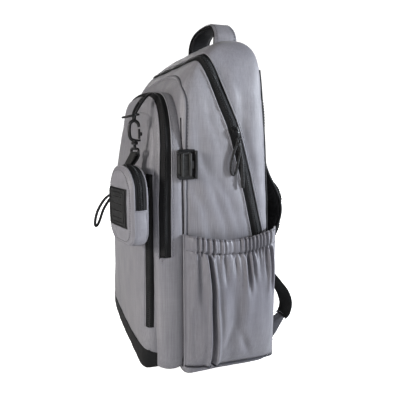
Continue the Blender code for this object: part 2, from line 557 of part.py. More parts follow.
# ---------------------------------------------------------------- shoulder straps, adjusters and lower webbing
pad_route = [(STRAP_X, 66.0, 434), (STRAP_X, 72, 424), (STRAP_X, 77.5, 400), (STRAP_X, 81.5, 372), (STRAP_X, 86, 330),
             (STRAP_X, 91, 302), (STRAP_X + 1, 100, 281), (STRAP_X + 2, 109.5, 264), (STRAP_X + 3, 113, 247), (STRAP_X + 4, 111.5, 229),
             (STRAP_X + 5, 106.5, 208), (STRAP_X + 6, 101, 186), (STRAP_X + 7, 98, 168)]
web_route = [(STRAP_X + 8, 98.5, 158), (STRAP_X + 11, 100, 146), (STRAP_X + 17, 106, 131), (STRAP_X + 26, 115, 117), (STRAP_X + 35, 122, 102),
             (STRAP_X + 43, 122.5, 87), (STRAP_X + 47, 117, 75)]
for side, name in ((1, "right"), (-1, "left")):
    saxis = pivot("strap_%s_axis" % name, side * STRAP_X, STRAP_HINGE[0], STRAP_HINGE[1], flap)
    pad_path = smooth(pad_route, 26)

    def pad_section(i):
        u = i / 25
        half = STRAP_W / 2 * (1 - 0.30 * max(0.0, (u - 0.62) / 0.38))
        th = 5.2 if 0.04 < u < 0.97 else 3.0
        return [(-half, -th * 0.45), (-half + 3, -th), (half - 3, -th), (half, -th * 0.45), (half, th * 0.45), (half - 3, th), (-half + 3, th), (-half, th * 0.45)]

    pad = sweep(pad_path, pad_section, (1, 0, 0))
    web_path = smooth(web_route, 18)
    web = sweep(web_path, [(-12.5, -0.9), (12.5, -0.9), (12.5, 0.9), (-12.5, 0.9)],
                lambda i: (1, 0.35 * min(1.0, i / 9), 0.1 * min(1.0, i / 9)))
    c = Vector((STRAP_X + 8, 98.3, 162))
    lock = cut(block(c.x - 17, c.x + 19, c.y - 2.6, c.y + 2.6, 150.6, 166 - 0.6), block(c.x - 13.5, c.x + 15.5, c.y - 10, c.y + 10, 153.4, 161.2))
    lock = cut(lock, block(c.x - 13.5, c.x + 15.5, c.y - 1.5, c.y + 4.0, 148, 162.0))
    # the wing of cloth sewn into the back corner, which the webbing is stitched to
    wing = prism_x([(86.1, 18), (86.1, 54), (106, 74.5), (115.5, 66)], STRAP_X + 46, STRAP_X + 50)
    for mesh, node, mat, par in ((pad, "shoulder_strap_" + name, "black", saxis), (lock, "ladder_lock_" + name, "plastic", saxis),
                                 (web, "strap_webbing_" + name, "black", saxis), (wing, "strap_wing_" + name, "grey", flap)):
        link(mesh if side > 0 else flip_x(mesh), node, mat, par)
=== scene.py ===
import json
import math
import bmesh
import bpy
from mathutils import Matrix, Vector, noise
from mathutils.bvhtree import BVHTree

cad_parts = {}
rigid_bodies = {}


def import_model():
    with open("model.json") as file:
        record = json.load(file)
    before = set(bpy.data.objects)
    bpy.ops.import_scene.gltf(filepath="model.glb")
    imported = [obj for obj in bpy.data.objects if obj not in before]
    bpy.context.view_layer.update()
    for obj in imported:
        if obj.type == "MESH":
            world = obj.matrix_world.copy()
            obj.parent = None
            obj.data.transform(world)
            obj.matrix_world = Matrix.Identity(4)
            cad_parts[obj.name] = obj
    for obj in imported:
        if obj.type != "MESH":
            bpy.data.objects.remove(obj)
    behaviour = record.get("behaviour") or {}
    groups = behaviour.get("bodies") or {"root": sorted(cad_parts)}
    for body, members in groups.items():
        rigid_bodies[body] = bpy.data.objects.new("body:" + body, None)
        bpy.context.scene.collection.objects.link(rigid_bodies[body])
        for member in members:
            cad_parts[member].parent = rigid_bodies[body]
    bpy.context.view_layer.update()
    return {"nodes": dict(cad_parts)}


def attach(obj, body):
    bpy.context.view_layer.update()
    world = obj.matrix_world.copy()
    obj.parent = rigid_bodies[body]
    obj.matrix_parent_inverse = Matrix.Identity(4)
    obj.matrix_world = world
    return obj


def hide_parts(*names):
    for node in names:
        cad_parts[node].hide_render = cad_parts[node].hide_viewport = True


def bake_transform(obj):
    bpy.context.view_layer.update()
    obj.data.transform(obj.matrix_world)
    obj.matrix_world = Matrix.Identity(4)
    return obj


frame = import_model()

# Lengths below are millimetres in the part's own frame, shifted along y when a mesh is made.
S = 18.734
SC = bpy.context.scene
GAP = 0.3


# ------------------------------------------------------------------ small maths
def lerp(table, x):
    """Linear reading of (x, value) pairs in rising x."""
    if x <= table[0][0]:
        return table[0][1]
    for (a, p), (b, q) in zip(table, table[1:]):
        if x <= b:
            return p + (q - p) * (x - a) / (b - a)
    return table[-1][1]


def ease(a, b, x):
    t = min(1.0, max(0.0, (x - a) / (b - a)))
    return t * t * (3 - 2 * t)


def soft_table(table, step=4.0, passes=10):
    """The same table on a fine grid, with its corners rounded off."""
    lo, hi = table[0][0], table[-1][0]
    n = max(3, int((hi - lo) / step))
    xs = [lo + (hi - lo) * i / n for i in range(n + 1)]
    ys = [lerp(table, x) for x in xs]
    for _ in range(passes):
        ys = [ys[0]] + [(ys[i - 1] + 2 * ys[i] + ys[i + 1]) / 4 for i in range(1, n)] + [ys[-1]]
    return list(zip(xs, ys))


def nz(x, y, z, seed=0.0):
    return noise.noise(Vector((x + seed * 17.31, y - seed * 5.77, z + seed * 9.13)))


def catmull(route, count):
    pts = [Vector(p) for p in route]
    pts = [2 * pts[0] - pts[1]] + pts + [2 * pts[-1] - pts[-2]]
    spans = len(pts) - 3
    out = []
    for i in range(count):
        t = i / (count - 1) * spans
        k = min(int(t), spans - 1)
        u = t - k
        a, b, c, d = pts[k:k + 4]
        out.append(0.5 * (2 * b + (c - a) * u + (2 * a - 5 * b + 4 * c - d) * u * u + (3 * b - a - 3 * c + d) * u ** 3))
    return out


def resample(path, count=None, step=None, extra=None, loop=False):
    """Evenly spaced points on a polyline, with a second list of vectors carried along."""
    pts = list(path) + ([path[0]] if loop else [])
    ext = (list(extra) + ([extra[0]] if loop else [])) if extra else None
    run = [0.0]
    for a, b in zip(pts, pts[1:]):
        run.append(run[-1] + (b - a).length)
    total = run[-1]
    if count is None:
        count = max(2, int(round(total / step)) + (0 if loop else 1))
    out, oute, k = [], [], 0
    for i in range(count):
        s = total * i / (count if loop else count - 1)
        while k < len(run) - 2 and run[k + 1] < s:
            k += 1
        t = (s - run[k]) / max(1e-9, run[k + 1] - run[k])
        out.append(pts[k].lerp(pts[k + 1], t))
        if ext:
            oute.append(ext[k].lerp(ext[k + 1], t).normalized())
    return (out, oute) if extra else out


def calm(path, passes=3, loop=False):
    n = len(path)
    for _ in range(passes):
        new = []
        for i in range(n):
            if not loop and i in (0, n - 1):
                new.append(path[i].copy())
            else:
                new.append((path[i - 1] + 2 * path[i] + path[(i + 1) % n]) / 4)
        path = new
    return path


def rounded(x0, x1, y0, y1, r, steps=6):
    rs = [r] * 4 if not hasattr(r, "__len__") else r
    out = []
    for (cx, cy, sx, sy, start), k in zip(((x0, y0, 1, 1, 180), (x1, y0, -1, 1, 270), (x1, y1, -1, -1, 0), (x0, y1, 1, -1, 90)), rs):
        for i in range(steps + 1):
            a = math.radians(start + 90 * i / steps)
            out.append((cx + sx * k + k * math.cos(a), cy + sy * k + k * math.sin(a)))
    return out


def tangents(path, loop=False):
    n = len(path)
    if loop:
        return [(path[(i + 1) % n] - path[i - 1]).normalized() for i in range(n)]
    return [(path[min(i + 1, n - 1)] - path[max(i - 1, 0)]).normalized() for i in range(n)]


# ------------------------------------------------------------------ mesh building
class Geo:
    """A growing list of points and faces, in millimetres."""

    def __init__(self):
        self.v, self.f = [], []

    def add(self, pts, faces):
        k = len(self.v)
        self.v += [tuple(p) for p in pts]
        self.f += [tuple(i + k for i in f) for f in faces]

    def rings(self, rings, loop=False, caps=True):
        n, m = len(rings[0]), len(rings)
        faces = []
        for a in range(m if loop else m - 1):
            b = (a + 1) % m
            faces += [(a * n + i, a * n + (i + 1) % n, b * n + (i + 1) % n, b * n + i) for i in range(n)]
        if caps and not loop:
            faces += [tuple(reversed(range(n))), tuple((m - 1) * n + i for i in range(n))]
        self.add([p for r in rings for p in r], faces)

    def grid(self, rows):
        """An open sheet from rows of equal length."""
        n, m = len(rows[0]), len(rows)
        faces = [(a * n + i, a * n + i + 1, (a + 1) * n + i + 1, (a + 1) * n + i) for a in range(m - 1) for i in range(n - 1)]
        self.add([p for r in rows for p in r], faces)

    def tube(self, path, r, sides=10, loop=False, squash=1.0, first=None):
        """A round rod along a path; r is a number or a function of 0..1."""
        path = [Vector(p) for p in path]
        ts = tangents(path, loop)
        a = Vector(first) if first is not None else ts[0].orthogonal()
        rings = []
        for i, (p, t) in enumerate(zip(path, ts)):
            a = (a - t * a.dot(t)).normalized()
            b = t.cross(a)
            rad = r(i / max(1, len(path) - 1)) if callable(r) else r
            rings.append([p + (a * math.cos(2 * math.pi * k / sides) + b * (squash * math.sin(2 * math.pi * k / sides))) * rad for k in range(sides)])
        self.rings(rings, loop)

    def strip(self, path, across, section, loop=False):
        """Sweeps a closed section of (across, height) pairs; across is a vector or one for each point."""
        path = [Vector(p) for p in path]
        ts = tangents(path, loop)
        rings = []
        for i, (p, t) in enumerate(zip(path, ts)):
            w = Vector(across[i] if hasattr(across[0], "__len__") else across)
            w = (w - t * w.dot(t)).normalized()
            h = w.cross(t)
            sec = section(i / max(1, len(path) - 1)) if callable(section) else section
            rings.append([p + w * a + h * b for a, b in sec])
        self.rings(rings, loop)

    def pill(self, p, t, n, length, width, height):
        """One short raised thread or tooth lying on a surface."""
        w = t.cross(n).normalized()
        rings = []
        for u, k in ((-0.5, 0.35), (-0.3, 1.0), (0.3, 1.0), (0.5, 0.35)):
            c = p + t * (u * length)
            rings.append([c + w * (a * width * 0.5 * k) + n * (b * height * (0.55 + 0.45 * k)) for a, b in ((-1, -0.4), (1, -0.4), (0.6, 1), (-0.6, 1))])
        self.rings(rings)

    def stitches(self, path, normals, length=3.0, gap=1.4, width=0.75, height=0.45, lift=0.0, loop=False):
        pts, ns = resample(path, step=length + gap, extra=normals, loop=loop)
        ts = tangents(pts, loop)
        for p, t, n in zip(pts, ts, ns):
            n = (n - t * n.dot(t)).normalized()
            self.pill(p + n * lift, t, n, length, width, height)

    def prism(self, outline, place, h0, h1, bevel=0.0, steps=2):
        """A plate: outline of (a, b) pairs, place(a, b, h) to a point, with rounded upper and lower edges."""
        def scaled(d):
            if not d:
                return outline
            n = len(outline)
            area = sum(outline[i][0] * outline[(i + 1) % n][1] - outline[(i + 1) % n][0] * outline[i][1] for i in range(n))
            sg = 1 if area > 0 else -1
            out = []
            for i in range(n):
                p, q, r = (Vector(outline[(i + j) % n]) for j in (-1, 0, 1))
                e0, e1 = (q - p), (r - q)
                e0 = e0.normalized() if e0.length > 1e-9 else Vector((1, 0))
                e1 = e1.normalized() if e1.length > 1e-9 else e0
                n0, n1 = Vector((-e0.y, e0.x)) * sg, Vector((-e1.y, e1.x)) * sg
                mm = n0 + n1
                mm = mm.normalized() if mm.length > 1e-6 else n0
                out.append(tuple(q + mm * (d / max(0.5, mm.dot(n0)))))
            return out
        levels = [(0.0, h0), (0.0, h1)]
        if bevel:
            arcs = [(bevel * (1 - math.sin(a)), bevel * (1 - math.cos(a))) for a in (math.pi / 2 * i / steps for i in range(steps + 1))]
            levels = [(d, h0 + e) for d, e in arcs] + [(d, h1 - e) for d, e in reversed(arcs)]
        self.rings([[place(a, b, h) for a, b in scaled(d)] for d, h in levels])

    def obj(self, name, mat, body=None, smooth=True, angle=None, extra_mats=()):
        return to_obj(name, self.v, self.f, mat, body, smooth, angle, extra_mats)


def to_obj(name, points, faces, mat, body=None, smooth=True, angle=None, extra_mats=()):
    me = bpy.data.meshes.new(name)
    me.from_pydata([(p[0] * 0.001, (p[1] + S) * 0.001, p[2] * 0.001) for p in points], [], faces)
    bm = bmesh.new()
    bm.from_mesh(me)
    bmesh.ops.recalc_face_normals(bm, faces=bm.faces)
    bm.to_mesh(me)
    bm.free()
    return finish_obj(name, me, mat, body, smooth, angle, extra_mats)


def finish_obj(name, me, mat, body=None, smooth=True, angle=None, extra_mats=()):
    me.name = name
    ob = bpy.data.objects.new(name, me)
    SC.collection.objects.link(ob)
    me.materials.clear()
    if mat:
        me.materials.append(mat)
        for m in extra_mats:
            me.materials.append(m)
    if smooth:
        me.shade_smooth()
        if angle:
            me.set_sharp_from_angle(angle=math.radians(angle))
    if body:
        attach(ob, body)
    return ob


def bm_obj(bm, name, mat, body=None, thick=0.0, offset=0.0, inner=None, angle=None):
    """An object from a bmesh in millimetres, made into a shell of the given thickness."""
    me = bpy.data.meshes.new(name)
    bm.to_mesh(me)
    me.transform(Matrix.Translation((0, S * 0.001, 0)) @ Matrix.Scale(0.001, 4))
    ob = finish_obj(name, me, mat, None, True, angle, (inner,) if inner else ())
    if thick:
        for p in me.polygons:
            p.material_index = 0
        m = ob.modifiers.new("s", "SOLIDIFY")
        m.thickness, m.offset, m.use_rim, m.use_even_offset = thick * 0.001, offset, True, False
        if inner:
            m.material_offset = 1
        bake(ob)
        ob.data.shade_smooth()
        ob.data.set_sharp_from_angle(angle=math.radians(50))
    if body:
        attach(ob, body)
    return ob


def bake(ob):
    """Applies an object's modifiers."""
    bpy.context.view_layer.update()
    me = bpy.data.meshes.new_from_object(ob.evaluated_get(bpy.context.evaluated_depsgraph_get()))
    old = ob.data
    name = old.name
    ob.modifiers.clear()
    ob.data = me
    bpy.data.meshes.remove(old)
    me.name = name


def take_bm(ob, remove=True):
    """A bmesh in millimetres from an object."""
    bm = bmesh.new()
    bm.from_mesh(ob.data)
    bm.transform(Matrix.Scale(1000.0, 4) @ Matrix.Translation((0, -S * 0.001, 0)))
    if remove:
        me = ob.data
        bpy.data.objects.remove(ob)
        bpy.data.meshes.remove(me)
    bm.normal_update()
    return bm


def relax(bm, passes, factor=0.5, lock=None):
    verts = [v for v in bm.verts if not (lock and lock(v.co))]
    for _ in range(passes):
        bmesh.ops.smooth_vert(bm, verts=verts, factor=factor, use_axis_x=True, use_axis_y=True, use_axis_z=True)
    bm.normal_update()


def push(bm, fn):
    bm.normal_update()
    moves = [(v, v.normal * fn(v.co, v.normal)) for v in bm.verts]
    for v, d in moves:
        v.co += d
    bm.normal_update()


def soft_solid(geo, voxel=4.0, passes=8, puff=None, grow=0.0):
    """A closed form remeshed into an even grid, optionally blown up as cloth, and relaxed."""
    ob = to_obj("soft", geo.v, geo.f, None)
    m = ob.modifiers.new("r", "REMESH")
    m.mode, m.voxel_size = "VOXEL", voxel * 0.001
    bake(ob)
    if puff:
        inflate(ob, **puff)
    bm = take_bm(ob)
    relax(bm, passes)
    if grow:
        push(bm, lambda p, n: grow)
    return bm


def inflate(ob, pressure=4.0, cap=8.0, frames=18, pin=None, tension=12.0, bending=0.6, shrink=0.0):
    """Cloth under inner pressure; no point moves further than cap millimetres."""
    rest = [v.co.copy() for v in ob.data.vertices]
    m = ob.modifiers.new("c", "CLOTH")
    st = m.settings
    st.quality = 4
    st.mass = 0.25
    st.tension_stiffness = st.compression_stiffness = tension
    st.shear_stiffness = tension * 0.5
    st.bending_stiffness = bending
    st.use_pressure = True
    st.uniform_pressure_force = pressure
    st.shrink_min = shrink
    st.effector_weights.gravity = 0.0
    m.collision_settings.use_collision = False
    m.collision_settings.use_self_collision = False
    if pin:
        g = ob.vertex_groups.new(name="pin")
        for v in ob.data.vertices:
            k = pin(v.co * 1000.0 - Vector((0, S, 0)))
            if k > 0:
                g.add([v.index], k, "REPLACE")
        st.vertex_group_mass = "pin"
    m.point_cache.frame_start, m.point_cache.frame_end = 1, frames
    for f in range(1, frames + 1):
        SC.frame_set(f)
    bpy.context.view_layer.update()
    ev = ob.evaluated_get(bpy.context.evaluated_depsgraph_get())
    got = [v.co.copy() for v in ev.data.vertices]
    ob.modifiers.clear()
    ob.vertex_groups.clear()
    lim = cap * 0.001
    for v, a, b in zip(ob.data.vertices, rest, got):
        d = b - a
        if d.length > lim:
            d = d * (lim / d.length)
        v.co = a + d
    ob.data.update()
    SC.frame_set(1)


def slice_path(bm0, d, warp=None, keep=None, start=None):
    """The line where the surface y - warp(z) = d crosses a mesh, as ordered points with normals."""
    bm = bm0.copy()
    if warp:
        for v in bm.verts:
            v.co.y -= warp(v.co.z)
    cut = bmesh.ops.bisect_plane(bm, geom=bm.verts[:] + bm.edges[:] + bm.faces[:], plane_co=(0, d, 0), plane_no=(0, 1, 0))["geom_cut"]
    if warp:
        for v in bm.verts:
            v.co.y += warp(v.co.z)
    bm.normal_update()
    nxt = {}
    for e in cut:
        if isinstance(e, bmesh.types.BMEdge):
            a, b = e.verts
            if keep and not (keep(a.co) and keep(b.co)):
                continue
            nxt.setdefault(a, []).append(b)
            nxt.setdefault(b, []).append(a)
    best = []
    left = set(nxt)
    while left:
        ends = [v for v in left if len(nxt[v]) == 1] or list(left)
        ends.sort(key=lambda v: (-v.co.x, v.co.z) if start is None else (v.co - Vector(start)).length)
        v = ends[0]
        line = [v]
        left.discard(v)
        while True:
            step = [q for q in nxt[line[-1]] if q in left]
            if not step:
                break
            line.append(step[0])
            left.discard(step[0])
        if len(line) > len(best):
            best = line
    pts, ns = [v.co.copy() for v in best], [v.normal.copy() for v in best]
    bm.free()
    return pts, ns


def tidy_path(pts, ns, count=None, step=None, passes=4):
    pts, ns = resample(pts, count=count, step=step, extra=ns)
    pts, ns = calm(pts, passes), calm(ns, passes + 2)
    return resample(pts, count=len(pts), extra=[n.normalized() for n in ns])


def carve(bm0, cuts, warp=None, pick=None):
    """Cuts a mesh along planes, given as (point, normal) in warped space, and returns one mesh for each name of pick(point)."""
    bm = bm0.copy()
    if warp:
        for v in bm.verts:
            v.co.y -= warp(v.co.z)
    for co, no in cuts:
        bmesh.ops.bisect_plane(bm, geom=bm.verts[:] + bm.edges[:] + bm.faces[:], plane_co=co, plane_no=no)
    bmesh.ops.dissolve_degenerate(bm, edges=bm.edges[:], dist=0.02)
    kinds = [pick(f.calc_center_median()) for f in bm.faces]
    if warp:
        for v in bm.verts:
            v.co.y += warp(v.co.z)
    out = {}
    for kind in sorted({k for k in kinds if k}):
        part = bm.copy()
        part.faces.ensure_lookup_table()
        bmesh.ops.delete(part, geom=[part.faces[i] for i, k in enumerate(kinds) if k != kind], context="FACES")
        part.normal_update()
        out[kind] = part
    bm.free()
    return out


def even_edges(bm, passes=3, keep=None):
    """Calms the open edges left by a cut, along the edge only."""
    for _ in range(passes):
        new = {}
        for v in bm.verts:
            around = [e.other_vert(v) for e in v.link_edges if e.is_boundary]
            if len(around) == 2:
                new[v] = (v.co * 2 + around[0].co + around[1].co) / 4
        for v, c in new.items():
            if not keep or not keep(v.co):
                v.co = c
    bm.normal_update()


# ------------------------------------------------------------------ materials
def srgb(r, g, b):
    return tuple((c / 12.92 if c <= 0.04045 else ((c + 0.055) / 1.055) ** 2.4) for c in (r / 255, g / 255, b / 255)) + (1.0,)


class Nodes:
    def __init__(self, name):
        self.mat = bpy.data.materials.new(name)
        self.mat.use_nodes = True
        self.t = self.mat.node_tree
        self.bsdf = self.t.nodes["Principled BSDF"]
        self.co = self.n("ShaderNodeTexCoord").outputs["Object"]

    def n(self, kind, **props):
        node = self.t.nodes.new(kind)
        for k, v in props.items():
            setattr(node, k, v)
        return node

    def link(self, a, b):
        self.t.links.new(a, b)

    def scaled(self, scale, rot=(0, 0, 0)):
        m = self.n("ShaderNodeMapping")
        m.inputs["Scale"].default_value = scale if hasattr(scale, "__len__") else (scale,) * 3
        m.inputs["Rotation"].default_value = rot
        self.link(self.co, m.inputs["Vector"])
        return m.outputs["Vector"]

    def noise(self, scale, detail=2.0, rough=0.5, stretch=None):
        t = self.n("ShaderNodeTexNoise")
        t.inputs["Scale"].default_value = scale
        t.inputs["Detail"].default_value = detail
        t.inputs["Roughness"].default_value = rough
        self.link(self.scaled(stretch) if stretch else self.co, t.inputs["Vector"])
        return t.outputs["Fac"]

    def wave(self, scale, direction="Z", distortion=0.0, rot=(0, 0, 0), profile="SIN"):
        t = self.n("ShaderNodeTexWave", bands_direction=direction, wave_profile=profile)
        t.inputs["Scale"].default_value = scale
        t.inputs["Distortion"].default_value = distortion
        t.inputs["Detail"].default_value = 1.0
        self.link(self.scaled(1.0, rot) if any(rot) else self.co, t.inputs["Vector"])
        return t.outputs["Fac"]

    def math(self, op, a, b=None):
        m = self.n("ShaderNodeMath", operation=op)
        for i, x in enumerate((a, b)):
            if x is None:
                continue
            if isinstance(x, (int, float)):
                m.inputs[i].default_value = x
            else:
                self.link(x, m.inputs[i])
        return m.outputs[0]

    def ramp(self, fac, stops):
        r = self.n("ShaderNodeValToRGB")
        els = r.color_ramp.elements
        while len(els) < len(stops):
            els.new(0.5)
        for e, (pos, col) in zip(els, stops):
            e.position, e.color = pos, col
        self.link(fac, r.inputs["Fac"])
        return r.outputs["Color"]

    def mix(self, fac, a, b, blend="MIX"):
        m = self.n("ShaderNodeMix", data_type="RGBA", blend_type=blend)
        for sock, x in ((m.inputs[0], fac), (m.inputs[6], a), (m.inputs[7], b)):
            if isinstance(x, (int, float)):
                sock.default_value = x
            elif isinstance(x, tuple):
                sock.default_value = x
            else:
                self.link(x, sock)
        return m.outputs[2]

    def spread(self, fac, lo, hi):
        r = self.n("ShaderNodeMapRange")
        r.inputs["To Min"].default_value, r.inputs["To Max"].default_value = lo, hi
        self.link(fac, r.inputs["Value"])
        return r.outputs["Result"]

    def bump(self, height, strength, distance, under=None):
        b = self.n("ShaderNodeBump")
        b.inputs["Strength"].default_value = strength
        b.inputs["Distance"].default_value = distance
        self.link(height, b.inputs["Height"])
        if under is not None:
            self.link(under, b.inputs["Normal"])
        return b.outputs["Normal"]

    def set(self, **kw):
        for k, v in kw.items():
            self.bsdf.inputs[k.replace("_", " ")].default_value = v
        return self

    def out(self, color=None, rough=None, normal=None):
        for sock, x in (("Base Color", color), ("Roughness", rough), ("Normal", normal)):
            if x is not None:
                self.link(x, self.bsdf.inputs[sock])
        return self.mat


def fabric(name, dark, light, pitch=0.0008, sheen=0.06, rough=(0.44, 0.58), strength=0.22, slub=0.25, crease=0.2):
    """Close twill cloth: fine slanted yarns, long faint slubs, soft shade changes and small creases."""
    k = Nodes(name)
    f = 6.2832 / 20.0 / pitch
    twill = k.wave(f, "Z", 0.3, rot=(0.45, 0.45, 0))
    rows = k.wave(f * 0.6, "X", 0.5, rot=(0, 0, math.radians(45)))
    cross = k.math("ADD", k.math("MULTIPLY", twill, 0.6), k.math("MULTIPLY", rows, 0.4))
    yarn_v = k.noise(1.0, 2.0, 0.6, stretch=(1300, 1300, 40))
    yarn_h = k.noise(1.0, 2.0, 0.6, stretch=(60, 60, 1500))
    yarn = k.math("ADD", k.math("MULTIPLY", yarn_v, 0.7), k.math("MULTIPLY", yarn_h, 0.3))
    broad = k.noise(7.0, 3.0, 0.55)
    mid = k.noise(38.0, 2.0, 0.5)
    base = k.ramp(yarn, [(0.3, dark), (0.7, light)])
    tone = k.ramp(k.math("ADD", k.math("MULTIPLY", broad, 0.7), k.math("MULTIPLY", mid, 0.3)), [(0.34, (0.84, 0.84, 0.87, 1)), (0.66, (1.0, 0.995, 0.99, 1))])
    col = k.mix(slub + 0.4, k.ramp(cross, [(0.0, dark), (1.0, light)]), base)
    streak = k.noise(1.0, 2.0, 0.55, stretch=(430, 430, 9))
    tone = k.mix(1.0, tone, k.ramp(streak, [(0.32, (0.88, 0.88, 0.89, 1)), (0.68, (1.0, 1.0, 1.0, 1))]), "MULTIPLY")
    col = k.mix(1.0, col, tone, "MULTIPLY")
    n1 = k.bump(k.math("ADD", k.math("MULTIPLY", cross, 0.6), k.math("MULTIPLY", yarn, 0.5)), strength, 0.0004)
    n2 = k.bump(k.noise(48.0, 3.0, 0.5), crease, 0.0012, n1)
    k.set(Sheen_Weight=sheen, Sheen_Roughness=0.4, Specular_IOR_Level=0.34)
    return k.out(col, k.spread(k.math("ADD", k.math("MULTIPLY", yarn, 0.4), k.math("MULTIPLY", broad, 0.6)), *rough), n2)


def ribbed(name, dark, light, pitch, direction="Z", rot=(0, 0, 0), rough=(0.5, 0.72), strength=0.6, sheen=0.0):
    """Webbing and tape: ribs across the width with a fine grain."""
    k = Nodes(name)
    rib = k.wave(1.0 / pitch / 20.0 * 6.2832, direction, 0.25, rot)
    grain = k.noise(900.0, 2.0, 0.6)
    fade = k.noise(24.0, 3.0, 0.55)
    col = k.ramp(k.math("ADD", k.math("MULTIPLY", rib, 0.45), k.math("MULTIPLY", grain, 0.55)), [(0.25, dark), (0.8, light)])
    col = k.mix(1.0, col, k.ramp(fade, [(0.35, (0.78, 0.78, 0.78, 1)), (0.66, (1.1, 1.1, 1.12, 1))]), "MULTIPLY")
    n1 = k.bump(rib, strength, 0.0006)
    n2 = k.bump(grain, 0.25, 0.0003, n1)
    k.set(Sheen_Weight=sheen, Sheen_Roughness=0.5, Specular_IOR_Level=0.3)
    return k.out(col, k.spread(fade, *rough), n2)


def mesh_cloth(name):
    """Spacer mesh: a close grid of small round holes over dark foam."""
    k = Nodes(name)
    v = k.n("ShaderNodeTexVoronoi", feature="F1")
    v.inputs["Scale"].default_value = 420.0
    v.inputs["Randomness"].default_value = 0.12
    k.link(k.co, v.inputs["Vector"])
    d = v.outputs["Distance"]
    fade = k.noise(20.0, 3.0, 0.55)
    col = k.ramp(d, [(0.18, (0.003, 0.003, 0.003, 1)), (0.42, (0.014, 0.014, 0.015, 1)), (0.8, (0.03, 0.03, 0.032, 1))])
    col = k.mix(1.0, col, k.ramp(fade, [(0.35, (0.75, 0.75, 0.75, 1)), (0.66, (1.15, 1.15, 1.15, 1))]), "MULTIPLY")
    n1 = k.bump(d, 0.7, 0.0012)
    n2 = k.bump(k.noise(700.0, 2.0), 0.2, 0.0003, n1)
    k.set(Sheen_Weight=0.02, Sheen_Roughness=0.5, Specular_IOR_Level=0.22)
    return k.out(col, k.spread(fade, 0.72, 0.9), n2)


def hard(name, dark, light, rough=(0.3, 0.5), metal=0.0, grain=1400.0, strength=0.12, coat=0.0):
    """Moulded plastic, rubber or coated metal, with a fine grain, handling marks and rubbed spots."""
    k = Nodes(name)
    fine = k.noise(grain, 3.0, 0.6)
    smear = k.noise(60.0, 4.0, 0.6)
    scr = k.noise(1.0, 2.0, 0.5, stretch=(300, 1900, 300))
    col = k.ramp(k.math("ADD", k.math("MULTIPLY", smear, 0.7), k.math("MULTIPLY", fine, 0.3)), [(0.34, dark), (0.68, light)])
    n1 = k.bump(fine, strength, 0.0002)
    n2 = k.bump(scr, strength * 0.6, 0.0002, n1)
    k.set(Metallic=metal, Coat_Weight=coat, Coat_Roughness=0.25)
    return k.out(col, k.spread(smear, *rough), n2)


def braid(name, dark, light):
    """Round braided cord: two crossing sets of strands."""
    k = Nodes(name)
    a = k.wave(95.0, "Z", 0.3, rot=(0.75, 0.35, 0))
    b = k.wave(95.0, "Z", 0.3, rot=(-0.75, -0.35, 0))
    h = k.math("MAXIMUM", a, b)
    fade = k.noise(70.0, 3.0)
    col = k.ramp(k.math("ADD", k.math("MULTIPLY", h, 0.6), k.math("MULTIPLY", fade, 0.4)), [(0.2, dark), (0.85, light)])
    n1 = k.bump(h, 0.6, 0.0005)
    k.set(Sheen_Weight=0.15, Specular_IOR_Level=0.35)
    return k.out(col, k.spread(fade, 0.45, 0.65), n1)


GREY_D, GREY_L = srgb(121, 120, 124), srgb(144, 143, 147)
M_GREY = fabric("grey_fabric", GREY_D, GREY_L)
M_GREY_SOFT = fabric("grey_pocket_fabric", srgb(110, 109, 113), srgb(132, 131, 136), sheen=0.05, rough=(0.36, 0.48), crease=0.1)
M_TRIM = fabric("black_fabric", srgb(14, 14, 15), srgb(28, 28, 30), sheen=0.0, rough=(0.55, 0.72))
M_LINING = fabric("lining_fabric", srgb(30, 30, 33), srgb(52, 52, 57), pitch=0.0008, sheen=0.02, rough=(0.4, 0.58), crease=0.4)
M_MESH = mesh_cloth("black_mesh")
M_WEB = ribbed("black_webbing", srgb(30, 30, 30), srgb(66, 66, 65), 0.0014, "Z")
M_WEB_X = ribbed("black_webbing_across", srgb(12, 12, 13), srgb(38, 38, 40), 0.0016, "X")
M_TAPE = ribbed("zip_tape", srgb(12, 12, 13), srgb(30, 30, 32), 0.0011, "Z", strength=0.4)
M_TEETH = hard("zip_coil", srgb(16, 16, 17), srgb(46, 46, 48), rough=(0.3, 0.48), coat=0.15)
M_THREAD = ribbed("grey_thread", srgb(120, 119, 124), srgb(168, 167, 172), 0.0006, "Z", rough=(0.45, 0.6))
M_THREAD_D = ribbed("dark_thread", srgb(70, 70, 74), srgb(100, 99, 104), 0.0006, "Z", rough=(0.45, 0.6))
M_THREAD_K = ribbed("black_thread", srgb(24, 24, 25), srgb(60, 60, 62), 0.0006, "Z", rough=(0.45, 0.6))
M_CORD = braid("black_cord", srgb(8, 8, 9), srgb(32, 32, 34))
M_METAL = hard("black_metal", srgb(14, 14, 15), srgb(38, 38, 40), rough=(0.24, 0.4), metal=0.2, strength=0.06)
M_STEEL = hard("steel", srgb(150, 150, 154), srgb(205, 205, 208), rough=(0.18, 0.34), metal=1.0, strength=0.05)
M_PLASTIC = hard("black_plastic", srgb(14, 14, 15), srgb(40, 40, 42), rough=(0.3, 0.46), grain=2200.0, strength=0.18)
M_RUBBER = hard("flap_rubber", srgb(22, 22, 22), srgb(50, 50, 49), rough=(0.42, 0.6), grain=1800.0, strength=0.2)
M_PATCH = hard("patch_rubber", srgb(14, 14, 15), srgb(34, 34, 36), rough=(0.5, 0.68), grain=900.0, strength=0.35)
M_WING = fabric("dark_grey_fabric", srgb(56, 56, 60), srgb(80, 80, 85), sheen=0.02, rough=(0.5, 0.65))
M_BOARD = fabric("board_cloth", srgb(34, 34, 37), srgb(58, 58, 62), pitch=0.0014, sheen=0.1, rough=(0.6, 0.8))

